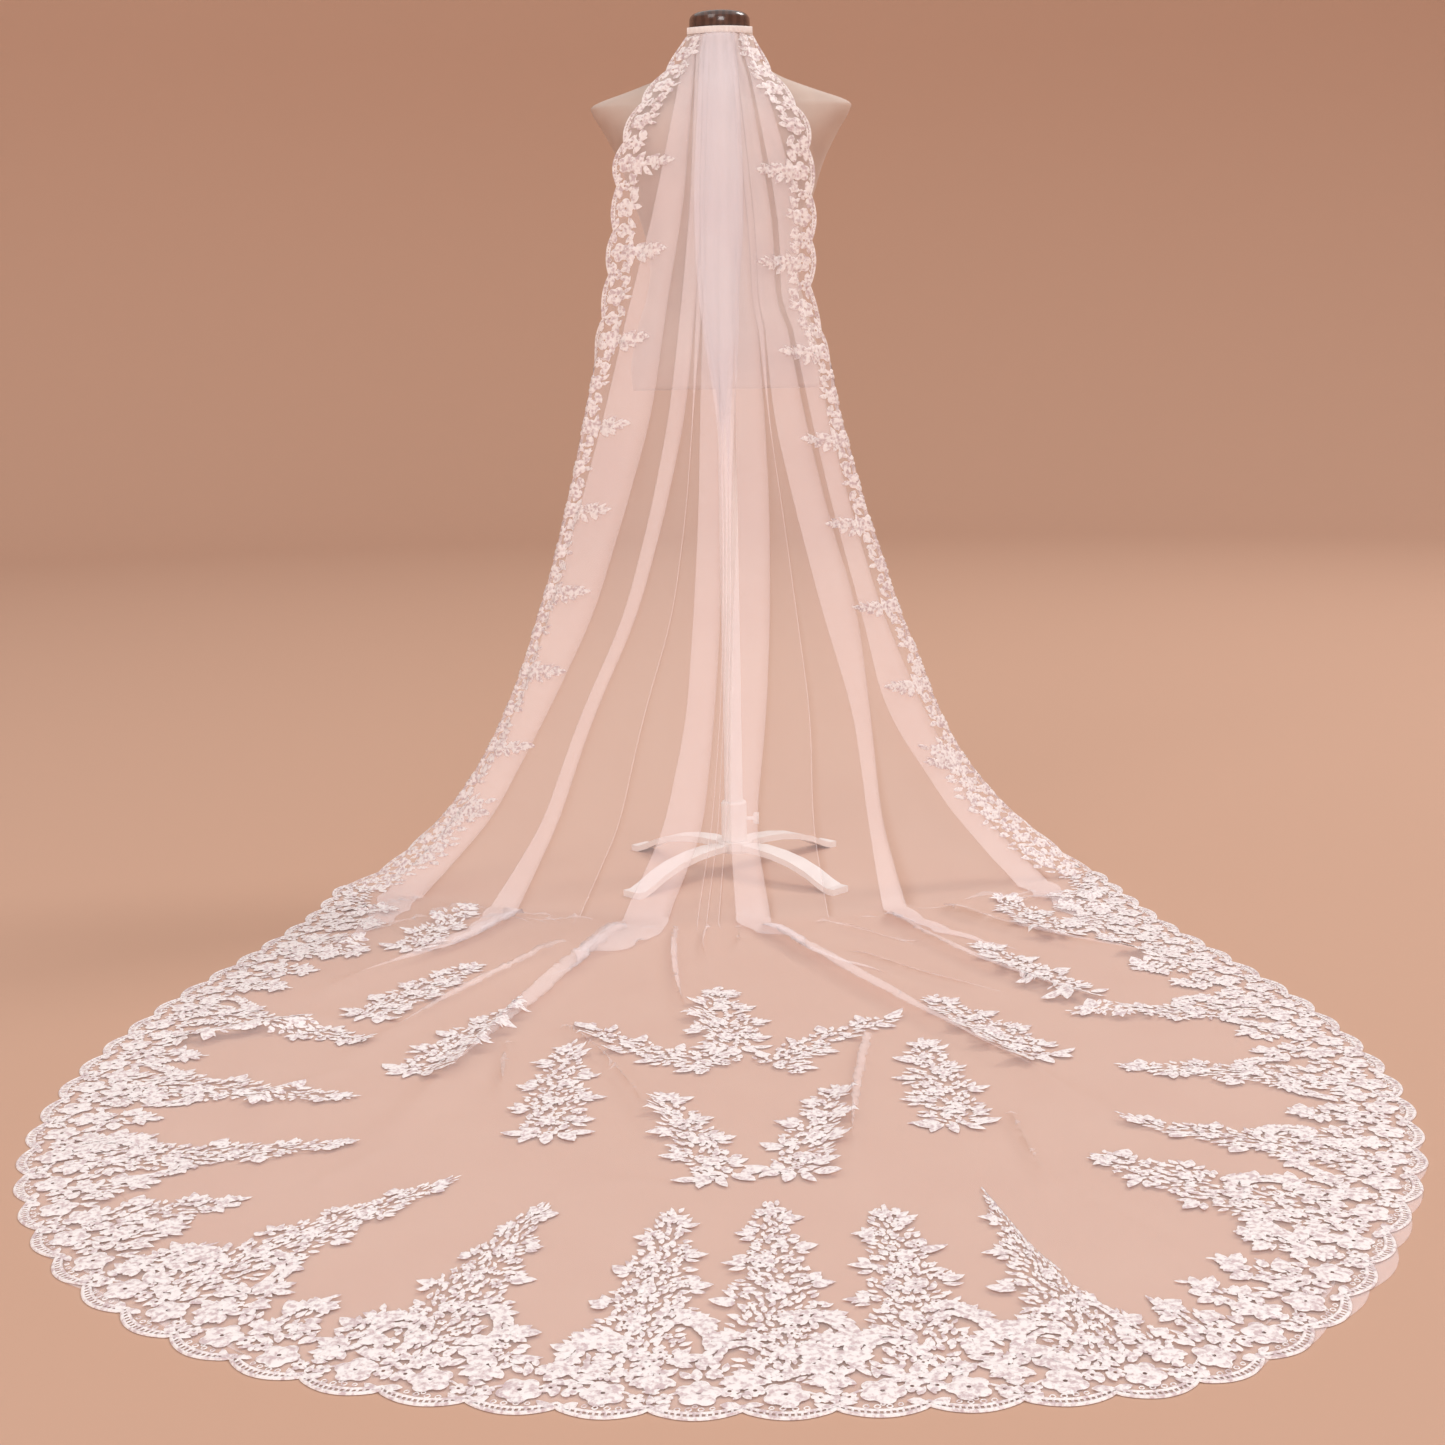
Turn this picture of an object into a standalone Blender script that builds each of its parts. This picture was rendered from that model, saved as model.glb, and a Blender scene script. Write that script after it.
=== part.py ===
# Cathedral bridal veil, gathered at the back of the neck of a limbless dress form on a pole stand.
# Metres, +Z up. The train runs out along -Y, the pole stands at X = 0, Y = 0 until the last step,
# which centres the whole part on its footprint.
import bpy
import math
import numpy as np
from mathutils import Vector
from mathutils.bvhtree import BVHTree
from mathutils.geometry import tessellate_polygon

for old in list(bpy.data.objects):
    bpy.data.objects.remove(old, do_unlink=True)

# Cloth
WALL = 0.0012            # wall of the net and of the lace
SEAM = 0.0003            # gap between neighbouring pieces
LAP_GAP = 0.0005         # air between the net and the lace that lies on it
PITCH = 0.075            # one scallop of the hem border
DEPTH = 0.013            # rise of a scallop
BORDER = 0.088           # hem border, edge to inner leaves
NET_TRIM = 0.046         # the net stops this far inside the hem, under the lace
SIDE_PITCH = 0.067       # one scallop of the narrow side border
SIDE_DEPTH = 0.008
SIDE_BORDER = 0.040      # side border, edge to inner flowers
SIDE_HINGE = 0.020       # the side border turns under along this line
SIDE_TRIM = 0.025        # the net stops this far inside the side border's edge
TURN = math.radians(84)  # angle through which the side border is turned under
SPRIG = 0.056            # length of a sprig past the side border
SPRIG_LOW = 0.12         # heights between which sprigs grow from the side borders
SPRIG_HIGH = 1.22
SIDE_WIDEN = 0.030       # the side border grows this much wider where it meets the hem border
SIDE_CUTS = (0, 0.27, 0.54, 0.77, 1)   # shares of a side edge where its border is joined
FOOT_POWER = 1.7         # how the hanging part curves forward from its middle to its edges
END_FAN = 0.20           # length of hem over which the border turns with the foot of the fall
SPRAY_SPLIT = 0.45       # a spray bends over the creases at this share of its height
SAMPLE_STEP = 0.008      # distance between the points at which a laid piece is kept clear
FINE_SIDE = 0.075        # smaller triangles are also kept clear of edges beside them

# Dress form and stand
FORM_BASE = 0.790
NECK_TOP = 1.333
CAP_TOP = 1.359
POLE_R = 0.0150
COLLAR_R = 0.0210
HUB_TOP = 0.052
HUB_R = 0.0300
LEG_REACH = 0.160        # a foot's distance from the pole along X and along Y
LEG_WIDTH = 0.036
LEG_THICK = 0.010

# Sections of the hanging part: height, depth of the middle, depth of the side edges,
# left and right edge.
FALL = (
    # z      y_mid   y_side   left    right
    (1.322, -0.0640, -0.0480, -0.052, 0.052),
    (1.300, -0.0700, -0.0560, -0.066, 0.062),
    (1.270, -0.0850, -0.0680, -0.088, 0.080),
    (1.235, -0.1030, -0.0830, -0.118, 0.104),
    (1.200, -0.1150, -0.0930, -0.140, 0.127),
    (1.165, -0.1230, -0.0970, -0.156, 0.138),
    (1.125, -0.1280, -0.0980, -0.168, 0.141),
    (1.070, -0.1320, -0.0990, -0.171, 0.143),
    (1.000, -0.1370, -0.1010, -0.181, 0.143),
    (0.920, -0.1430, -0.1040, -0.191, 0.141),
    (0.835, -0.1500, -0.1070, -0.202, 0.160),
    (0.758, -0.1560, -0.1090, -0.219, 0.174),
    (0.682, -0.1630, -0.1100, -0.236, 0.194),
    (0.604, -0.1700, -0.1100, -0.256, 0.215),
    (0.526, -0.1780, -0.1090, -0.277, 0.241),
    (0.447, -0.1870, -0.1070, -0.303, 0.266),
    (0.368, -0.1970, -0.1040, -0.330, 0.298),
    (0.288, -0.2080, -0.1000, -0.364, 0.328),
    (0.207, -0.2220, -0.0940, -0.407, 0.370),
    (0.130, -0.2400, -0.0860, -0.463, 0.430),
    (0.075, -0.2600, -0.0780, -0.520, 0.490),
    (0.034, -0.2830, -0.0700, -0.576, 0.545),
    (0.010, -0.3070, -0.0630, -0.622, 0.580),
    (0.000, -0.3350, -0.0560, -0.650, 0.596),
)

# Pleats of the hanging part. Each row is one pleat at one height: its left and right line
# and how far it stands out.
PLEAT_HEIGHTS = (1.322, 1.070, 0.920, 0.745, 0.604, 0.447, 0.288, 0.125, 0.000)
PLEATS = {
    "left_band": (
        (-0.046, -0.036, 0.004), (-0.100, -0.060, 0.007), (-0.144, -0.089, 0.009),
        (-0.190, -0.118, 0.011), (-0.232, -0.162, 0.012), (-0.282, -0.214, 0.012),
        (-0.342, -0.294, 0.012), (-0.440, -0.386, 0.010), (-0.560, -0.500, 0.005)),
    "left_diagonal": (
        (-0.030, -0.021, 0.004), (-0.047, -0.030, 0.007), (-0.064, -0.045, 0.008),
        (-0.088, -0.066, 0.009), (-0.119, -0.099, 0.010), (-0.163, -0.145, 0.010),
        (-0.238, -0.219, 0.010), (-0.300, -0.278, 0.008), (-0.380, -0.340, 0.005)),
    "middle_left": (
        (-0.014, -0.005, 0.004), (-0.022, -0.006, 0.007), (-0.032, -0.010, 0.009),
        (-0.040, -0.012, 0.010), (-0.045, -0.013, 0.011), (-0.056, -0.017, 0.012),
        (-0.070, -0.030, 0.012), (-0.108, -0.050, 0.010), (-0.170, -0.105, 0.007)),
    "middle_right": (
        (0.003, 0.012, 0.004), (0.010, 0.032, 0.007), (0.014, 0.045, 0.009),
        (0.014, 0.056, 0.010), (0.014, 0.061, 0.011), (0.004, 0.059, 0.012),
        (-0.003, 0.050, 0.012), (-0.006, 0.030, 0.010), (0.000, 0.050, 0.007)),
    "right_wedge": (
        (0.019, 0.028, 0.004), (0.045, 0.068, 0.007), (0.058, 0.085, 0.009),
        (0.072, 0.118, 0.010), (0.104, 0.150, 0.011), (0.143, 0.196, 0.012),
        (0.190, 0.214, 0.012), (0.209, 0.228, 0.009), (0.225, 0.260, 0.005)),
    "right_band": (
        (0.035, 0.045, 0.004), (0.080, 0.112, 0.007), (0.096, 0.122, 0.009),
        (0.130, 0.155, 0.010), (0.162, 0.188, 0.011), (0.204, 0.234, 0.012),
        (0.240, 0.300, 0.012), (0.345, 0.385, 0.010), (0.450, 0.500, 0.005)),
}

# Outline of the train on the floor, from the left side edge round the front to the right.
HEM = (
    (-0.650, -0.056), (-0.664, -0.250), (-0.711, -0.460), (-0.768, -0.680), (-0.797, -0.930),
    (-0.776, -1.170), (-0.700, -1.370), (-0.571, -1.540), (-0.400, -1.660), (-0.200, -1.720),
    (0.000, -1.737), (0.200, -1.729), (0.368, -1.700), (0.500, -1.598), (0.612, -1.430),
    (0.700, -1.250), (0.745, -1.030), (0.735, -0.780), (0.685, -0.550), (0.635, -0.350),
    (0.596, -0.056),
)

# Creases of the train: from, through, to, height and half width.
CREASES = (
    ((-0.17, -0.32), (-0.27, -0.50), (-0.25, -0.72), 0.012, 0.045),
    ((-0.25, -0.72), (-0.28, -0.88), (-0.41, -1.24), 0.006, 0.036),
    ((-0.33, -0.25), (-0.38, -0.44), (-0.60, -0.68), 0.010, 0.045),
    ((-0.24, -0.41), (-0.37, -0.62), (-0.50, -0.97), 0.006, 0.036),
    ((-0.09, -0.34), (-0.10, -0.62), (-0.05, -0.88), 0.006, 0.034),
    ((-0.23, -0.79), (-0.14, -0.93), (-0.08, -1.22), 0.006, 0.034),
    ((0.05, -0.34), (0.12, -0.50), (0.20, -0.71), 0.013, 0.045),
    ((0.20, -0.71), (0.27, -0.97), (0.46, -1.25), 0.008, 0.038),
    ((0.21, -0.29), (0.30, -0.60), (0.55, -0.86), 0.009, 0.040),
    ((0.30, -0.26), (0.40, -0.46), (0.62, -0.59), 0.011, 0.042),
    ((0.16, -0.84), (0.12, -1.05), (0.10, -1.34), 0.007, 0.036),
    ((-0.40, -0.20), (-0.52, -0.34), (-0.60, -0.44), 0.009, 0.036),
    ((-0.70, -0.84), (-0.60, -0.77), (-0.50, -0.74), 0.008, 0.036),
)

# Lace sprays that grow inward from the hem border: middle along the hem as a share of its
# length, height above the edge, half width at the foot, lean of the tip along the hem.
SPRAYS = (
    # along  height  half    lean
    (0.075, 0.170, 0.050, 0.030),
    (0.148, 0.330, 0.045, 0.110),
    (0.211, 0.345, 0.048, 0.100),
    (0.270, 0.345, 0.050, 0.090),
    (0.314, 0.200, 0.040, 0.030),
    (0.362, 0.385, 0.060, -0.005),
    (0.432, 0.380, 0.060, -0.010),
    (0.478, 0.375, 0.058, 0.005),
    (0.508, 0.395, 0.055, -0.005),
    (0.537, 0.380, 0.055, 0.010),
    (0.570, 0.400, 0.058, 0.010),
    (0.672, 0.315, 0.060, 0.050),
    (0.710, 0.310, 0.048, 0.060),
    (0.768, 0.305, 0.050, 0.065),
    (0.830, 0.310, 0.045, 0.055),
    (0.885, 0.150, 0.040, -0.020),
    (0.935, 0.150, 0.045, -0.020),
)

# Motifs that lie free on the train: middle, length, half width, turn of the tip from +Y
# (degrees, clockwise seen from above) and form.
MOTIFS = (
    # x       y       length half   turn  form
    (-0.022, -0.772, 0.240, 0.058, -5, "tree"),
    (-0.125, -0.881, 0.235, 0.036, -46, "arm"),
    (0.105, -0.855, 0.235, 0.036, 43, "arm"),
    (-0.060, -1.155, 0.250, 0.042, -16, "tree"),
    (0.075, -1.145, 0.250, 0.042, 14, "tree"),
    (-0.340, -0.835, 0.245, 0.050, 23, "tree"),
    (-0.213, -1.010, 0.290, 0.052, 0, "tree"),
    (0.223, -1.010, 0.270, 0.052, -2, "tree"),
    (0.302, -0.822, 0.260, 0.050, -25, "tree"),
    (0.392, -0.590, 0.265, 0.048, -22, "tree"),
    (-0.426, -0.628, 0.250, 0.048, 27, "tree"),
)


def material(name, colour, roughness, alpha=1.0, metallic=0.0):
    mat = bpy.data.materials.new(name)
    mat.use_nodes = True
    shader = mat.node_tree.nodes["Principled BSDF"]
    shader.inputs["Base Color"].default_value = (colour[0], colour[1], colour[2], 1.0)
    shader.inputs["Roughness"].default_value = roughness
    shader.inputs["Alpha"].default_value = alpha
    shader.inputs["Metallic"].default_value = metallic
    return mat


def add_object(name, points, faces, mat, smooth=False):
    mesh = bpy.data.meshes.new(name)
    mesh.from_pydata([tuple(p) for p in points], [], faces)
    mesh.update()
    mesh.materials.append(mat)
    for polygon in mesh.polygons:
        polygon.use_smooth = smooth
    made = bpy.data.objects.new(name, mesh)
    bpy.context.scene.collection.objects.link(made)
    return made


def smooth_step(t):
    t = min(max(t, 0.0), 1.0)
    return t * t * (3.0 - 2.0 * t)


def lerp(a, b, t):
    return a + (b - a) * t


def catmull(p0, p1, p2, p3, t):
    return 0.5 * (2 * p1 + (p2 - p0) * t + (2 * p0 - 5 * p1 + 4 * p2 - p3) * t * t
                  + (3 * p1 - p0 - 3 * p2 + p3) * t ** 3)


def smooth_line(points, per_span):
    pts = [np.array(p, float) for p in points]
    pts = [2 * pts[0] - pts[1]] + pts + [2 * pts[-1] - pts[-2]]
    out = []
    for i in range(1, len(pts) - 2):
        for k in range(per_span):
            out.append(catmull(pts[i - 1], pts[i], pts[i + 1], pts[i + 2], k / per_span))
    out.append(pts[-2])
    return np.array(out)


def foot_direction(side):
    """Direction inward along the line where the hanging part meets the floor."""
    edge = FALL[-1][3] if side < 0 else FALL[-1][4]
    slope = FOOT_POWER * (FALL[-1][2] - FALL[-1][1]) / edge
    way = np.array((-side, -side * slope))
    return way / np.linalg.norm(way)


class Line:
    """A smooth plane line that can be read by length."""

    def __init__(self, points, per_span=12):
        self.points = smooth_line(points, per_span)
        steps = np.linalg.norm(np.diff(self.points, axis=0), axis=1)
        self.at = np.concatenate(([0.0], np.cumsum(steps)))
        self.length = float(self.at[-1])

    def point(self, s):
        x = float(np.interp(s, self.at, self.points[:, 0]))
        y = float(np.interp(s, self.at, self.points[:, 1]))
        return np.array((x, y))

    def inward(self, s):
        """Direction into the train. At both ends it follows the foot of the hanging part."""
        reach = 0.03
        a = self.point(max(s - reach, 0.0))
        b = self.point(min(s + reach, self.length))
        t = (b - a) / np.linalg.norm(b - a)
        square = np.array((-t[1], t[0]))
        left = s < self.length / 2
        share = 1.0 - smooth_step((s if left else self.length - s) / END_FAN)
        foot = foot_direction(-1 if left else 1)
        mixed = lerp(square, foot, share)
        return mixed / np.linalg.norm(mixed)

    def at_depth(self, s, d):
        return self.point(s) + d * self.inward(s)


HEM_START = 0.002        # the hem border starts this far past the foot of the hanging part
FOOT_LIP = 0.0004        # the hanging net's tilted end reaches this far past its middle line
CORNER_LEFT = 0.352      # the train's net turns from side to front at these shares of the hem
CORNER_RIGHT = 0.655
hem = Line(HEM)
fall_rows = np.array(FALL)


def fall_value(z, column):
    return float(np.interp(-z, -fall_rows[:, 0], fall_rows[:, column]))


def fall_depth(x, z):
    """Depth of the hanging part's middle surface, before its pleats."""
    mid = fall_value(z, 1)
    side = fall_value(z, 2)
    edge = fall_value(z, 3) if x < 0 else fall_value(z, 4)
    q = min(abs(x / edge), 1.15)
    return mid + (side - mid) * q ** FOOT_POWER


def pleat_value(name, z, column):
    rows = PLEATS[name]
    return float(np.interp(-z, [-h for h in PLEAT_HEIGHTS], [r[column] for r in rows]))


def turned(z):
    """How far the side border is turned under at this height, in radians."""
    upper = smooth_step((0.94 - z) / 0.16)
    lower = smooth_step((z - 0.02) / 0.12)
    return TURN * min(upper, lower)


def narrowed(z):
    """Share of the side border's width at this height: it runs out towards the header."""
    return lerp(0.25, 1.0, smooth_step((FALL[0][0] - z) / 0.08))


def hinge(z, side):
    """Line along which the side border turns under."""
    edge = fall_value(z, 3) if side < 0 else fall_value(z, 4)
    return edge - side * SIDE_HINGE * narrowed(z) * (1.0 - math.sin(turned(z)))


def close_grid(grid, wall, skip=(), outward=None):
    """Closed wall around a grid of points. A skipped cell is a hole cut right through."""
    grid = np.array(grid, float)
    du = np.gradient(grid, axis=1)
    dv = np.gradient(grid, axis=0)
    normal = np.cross(du, dv)
    size = np.linalg.norm(normal, axis=2, keepdims=True)
    normal = normal / np.maximum(size, 1e-12)
    if outward is not None:
        flip = np.sign(np.sum(normal * np.array(outward), axis=2).mean())
        normal = normal * flip
    front = grid + normal * wall / 2
    back = grid - normal * wall / 2
    return grid_faces(front, back, skip)


def grid_faces(front, back, skip=()):
    rows, cols = front.shape[:2]
    points = list(front.reshape(-1, 3)) + list(back.reshape(-1, 3))
    half = rows * cols
    skip = set(skip)
    faces = []
    edges = {}
    for r in range(rows - 1):
        for c in range(cols - 1):
            if (r, c) in skip:
                continue
            a = r * cols + c
            quad = (a, a + 1, a + cols + 1, a + cols)
            p = [front.reshape(-1, 3)[i] for i in quad]
            if np.linalg.norm(p[0] - p[2]) <= np.linalg.norm(p[1] - p[3]):
                tris = ((quad[0], quad[1], quad[2]), (quad[0], quad[2], quad[3]))
            else:
                tris = ((quad[0], quad[1], quad[3]), (quad[1], quad[2], quad[3]))
            for t in tris:
                faces.append(t)
                faces.append((t[2] + half, t[1] + half, t[0] + half))
            for i in range(4):
                e = (quad[i], quad[(i + 1) % 4])
                edges[e] = edges.get(e, 0) + 1
    for (a, b), n in edges.items():
        if (b, a) in edges:
            continue
        faces.append((b, a, a + half))
        faces.append((b, a + half, b + half))
    return tidy(points, faces)


def tidy(points, faces):
    """Leaves out the points that no face uses, and turns the body right side out."""
    used = sorted({i for f in faces for i in f})
    index = {old: new for new, old in enumerate(used)}
    points = [np.array(points[i], float) for i in used]
    faces = [tuple(index[i] for i in f) for f in faces]
    volume = 0.0
    for f in faces:
        a, b, c = points[f[0]], points[f[1]], points[f[2]]
        volume += float(np.dot(a, np.cross(b, c)))
    if volume < 0:
        faces = [tuple(reversed(f)) for f in faces]
    return points, faces


def tree_of(parts):
    """Search tree over one or more closed walls."""
    points = []
    faces = []
    for pts, fcs in parts:
        base = len(points)
        points += [Vector(p) for p in pts]
        faces += [tuple(i + base for i in f) for f in fcs]
    return BVHTree.FromPolygons(points, faces)


def floor_height(tree, x, y, around=True):
    """Top of what lies on the floor here, or the floor itself."""
    best = 0.0
    places = ((0, 0), (0.0012, 0), (-0.0012, 0), (0, 0.0012), (0, -0.0012))
    for ox, oy in (places if around else places[:1]):
        hit = tree.ray_cast(Vector((x + ox, y + oy, 0.5)), Vector((0, 0, -1)))
        if hit[0] is not None:
            best = max(best, hit[0].z)
    return best


def lay_on_floor(tree, flat, triangles, gap):
    """Lowest heights at which a flat piece clears all that lies under its triangles."""
    heights = [floor_height(tree, p[0], p[1]) for p in flat]
    heights = [h + gap if h > 0 else 0.0 for h in heights]
    samples = []
    for t in triangles:
        a, b, c = (np.array(flat[i]) for i in t)
        longest = max(np.linalg.norm(a - b), np.linalg.norm(b - c), np.linalg.norm(c - a))
        n = max(2, int(longest / SAMPLE_STEP))
        for i in range(n + 1):
            for j in range(n + 1 - i):
                u, v = i / n, j / n
                w = 1 - u - v
                p = a * u + b * v + c * w
                top = floor_height(tree, p[0], p[1], longest < FINE_SIDE)
                if top > 0:
                    samples.append((t, (u, v, w), top + gap))
    for sweep in range(12):
        worst = 0.0
        for t, w, need in samples:
            have = sum(w[k] * heights[t[k]] for k in range(3))
            lack = need - have
            if lack > 1e-6:
                worst = max(worst, lack)
                share = sum(k * k for k in w)
                for k in range(3):
                    heights[t[k]] += lack * w[k] / share
        if worst < 1e-6:
            break
    return heights


def crease_height(x, y):
    """Height of the train's soft folds over the floor."""
    total = 0.0
    for start, middle, end, height, half in CREASES:
        best = 1e9
        along = 0.0
        for k in range(25):
            t = k / 24
            px = (1 - t) ** 2 * start[0] + 2 * t * (1 - t) * middle[0] + t * t * end[0]
            py = (1 - t) ** 2 * start[1] + 2 * t * (1 - t) * middle[1] + t * t * end[1]
            d = math.hypot(x - px, y - py)
            if d < best:
                best = d
                along = t
        fade = smooth_step(along / 0.15) * smooth_step((1 - along) / 0.25)
        total = max(total, height * fade * max(0.0, 1 - (best / half) ** 2) ** 2)
    return total


def fall_columns(z):
    """Places across the hanging net at one height, with how far each stands out."""
    left = hinge(z, -1) + (SIDE_TRIM - SIDE_HINGE)
    right = hinge(z, 1) - (SIDE_TRIM - SIDE_HINGE)
    room = 0.004
    outer_left = min(pleat_value(name, z, 0) for name in PLEATS)
    outer_right = max(pleat_value(name, z, 1) for name in PLEATS)
    shrink_left = min(1.0, (left + room) / outer_left)
    shrink_right = min(1.0, (right - room) / outer_right)
    marks = [(left, 0.0)]
    for name in PLEATS:
        a, b = (x * (shrink_left if x < 0 else shrink_right)
                for x in (pleat_value(name, z, 0), pleat_value(name, z, 1)))
        out = pleat_value(name, z, 2)
        ramp = min(0.30 * (b - a), 0.008)
        marks += [(a, 0.0), (a + ramp, out), (b - ramp, out), (b, 0.0)]
    marks.append((right, 0.0))
    full = [marks[0]]
    for k in range(1, len(marks)):
        if k % 4 == 1:
            a, b = marks[k - 1], marks[k]
            dip = -0.15 * (b[0] - a[0])
            full.append((lerp(a[0], b[0], 0.5), max(dip, -0.004)))
        full.append(marks[k])
    return full


def net_fall_grid():
    grid = []
    for row in FALL:
        z = row[0]
        flat = smooth_step(z / 0.06)
        points = []
        for x, out in fall_columns(z):
            y = fall_depth(x, z)
            if out < 0:
                out = out * flat
            points.append((x, y - out * flat, z + max(out, 0.0) * (1 - flat) + WALL / 2))
        grid.append(points)
    return grid


def foot_point(x):
    """Point of the train's first row, one seam in front of the foot of the hanging net."""
    return np.array((x, fall_depth(x, 0.0) - FOOT_LIP - SEAM))


def train_point(u, v, x_first, x_last):
    """Point of the train's net: u from left to right, v from the foot of the fall to the hem."""
    corner_left = CORNER_LEFT * hem.length
    corner_right = CORNER_RIGHT * hem.length
    end = hem.length - HEM_START
    first = foot_point(x_first)
    last = foot_point(x_last)
    ease = (1 - v) ** 4
    left = hem.at_depth(lerp(HEM_START, corner_left, v), NET_TRIM)
    left = left + (first - hem.at_depth(HEM_START, NET_TRIM)) * ease
    right = hem.at_depth(lerp(end, corner_right, v), NET_TRIM)
    right = right + (last - hem.at_depth(end, NET_TRIM)) * ease
    bottom = hem.at_depth(lerp(corner_left, corner_right, u), NET_TRIM)
    top = foot_point(lerp(x_first, x_last, u))
    end_left = hem.at_depth(corner_left, NET_TRIM)
    end_right = hem.at_depth(corner_right, NET_TRIM)
    both = (first * (1 - u) * (1 - v) + last * u * (1 - v) + end_left * (1 - u) * v
            + end_right * u * v)
    return lerp(top, bottom, v) + lerp(left, right, u) - both


def net_train_grid(along=26):
    """Points of the train on the floor. Its columns start at those of the hanging net."""
    marks = fall_columns(0.0)
    xs = [m[0] for m in marks]
    across = len(xs) - 1
    grid = []
    for j in range(along + 1):
        v = j / along
        even = smooth_step(v / 0.25)
        row = []
        for i in range(across + 1):
            start = (xs[i] - xs[0]) / (xs[-1] - xs[0])
            x, y = train_point(lerp(start, i / across, even), v, xs[0], xs[-1])
            pleat = max(marks[i][1], 0.0) * (1 - smooth_step(v / 0.14))
            rise = max(crease_height(x, y), pleat)
            row.append((x, y, rise))
        grid.append(row)
    return np.array(grid)


def wall_on_floor(grid, wall):
    """Wall whose lower face follows the floor points and whose upper face is one wall above."""
    top = grid + np.array((0.0, 0.0, wall))
    return grid_faces(top, grid)


def spray_depth(s):
    """Inner edge of the hem border, with its sprays, at this length along the hem."""
    phase = (s / PITCH) % 1.0
    depth = BORDER - 0.012 * abs(phase - 0.5) * 2
    for along, height, half, lean in SPRAYS:
        foot = along * hem.length
        away = abs(s - foot) / half
        if away < 1.0:
            notch = 0.018 if (away * 3.0) % 1.0 > 0.5 else 0.0
            depth = max(depth, BORDER + (height - BORDER) * (1 - away) ** 0.8 - notch)
    return depth


def stations(first, last, pitch, narrow):
    """Lengths along a border: both sides of every valley and of every middle."""
    out = []
    for k in range(first, last):
        for share in (narrow, 0.5 - narrow, 0.5 + narrow, 1 - narrow):
            out.append((k + share) * pitch)
    return out


def hem_border(tree, first, last, pitch):
    """One stretch of the scalloped hem border with the sprays that grow from it."""
    along = stations(first, last, pitch, 0.07)
    along[0] = first * pitch + SEAM
    along[-1] = last * pitch - SEAM
    along = [HEM_START + s for s in along]
    flat = []
    for n, s in enumerate(along):
        valley = n % 4 in (0, 3)
        edge = DEPTH if valley else 0.0
        inner = spray_depth(s)
        lean = 0.0
        for share, height, half, tip_lean in SPRAYS:
            away = abs(s - share * hem.length) / half
            if away < 1.0:
                lean = tip_lean * (1 - away)
        row = []
        halfway = lerp(0.044, inner, SPRAY_SPLIT)
        for d, share in ((edge, 0), (0.017, 0), (0.029, 0), (0.044, 0),
                         (halfway, SPRAY_SPLIT), (inner, 1)):
            place = min(max(s + lean * share, HEM_START), hem.length - HEM_START)
            row.append(tuple(hem.at_depth(place, d)))
        flat.append(row)
    rows, cols = len(flat), len(flat[0])
    holes = set()
    for n in range(rows - 1):
        if n % 4 == 1:
            holes.add((n, 1))
        if n % 4 == 3:
            holes.add((n, 2))
    points = [p for row in flat for p in row]
    triangles = []
    for r in range(rows - 1):
        for c in range(cols - 1):
            if (r, c) in holes:
                continue
            a = r * cols + c
            triangles += [(a, a + 1, a + cols + 1), (a, a + cols + 1, a + cols),
                          (a, a + 1, a + cols), (a + 1, a + cols + 1, a + cols)]
    heights = lay_on_floor(tree, points, triangles, LAP_GAP)
    low = np.array([(p[0], p[1], h) for p, h in zip(points, heights)]).reshape(rows, cols, 3)
    return grid_faces(low + np.array((0, 0, WALL)), low, holes)


def edge_length(side):
    """Heights and lengths along a side edge of the hanging part, from the header down."""
    heights = []
    lengths = []
    total = 0.0
    last = None
    for k in range(241):
        z = 1.320 * (1 - k / 240)
        edge = fall_value(z, 3) if side < 0 else fall_value(z, 4)
        p = np.array((edge, fall_value(z, 2), z))
        if last is not None:
            total += float(np.linalg.norm(p - last))
        heights.append(z)
        lengths.append(total)
        last = p
    return heights, lengths


def side_point(z, d, side):
    """Point of a side border at this height and this far in from its scalloped edge."""
    h = hinge(z, side)
    if d >= SIDE_HINGE:
        x = h - side * (d - SIDE_HINGE)
        return np.array((x, fall_depth(x, z), z))
    angle = turned(z)
    base = np.array((h, fall_depth(h, z), z))
    reach = (SIDE_HINGE - d) * narrowed(z)
    near = np.array((h - side * 0.01, fall_depth(h - side * 0.01, z), z))
    outward = (base - near) / np.linalg.norm(base - near)
    back = np.array((0.0, 1.0, 0.0))
    back = back - outward * float(np.dot(back, outward))
    back = back / np.linalg.norm(back)
    return base + reach * (math.cos(angle) * outward + math.sin(angle) * back)


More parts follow.
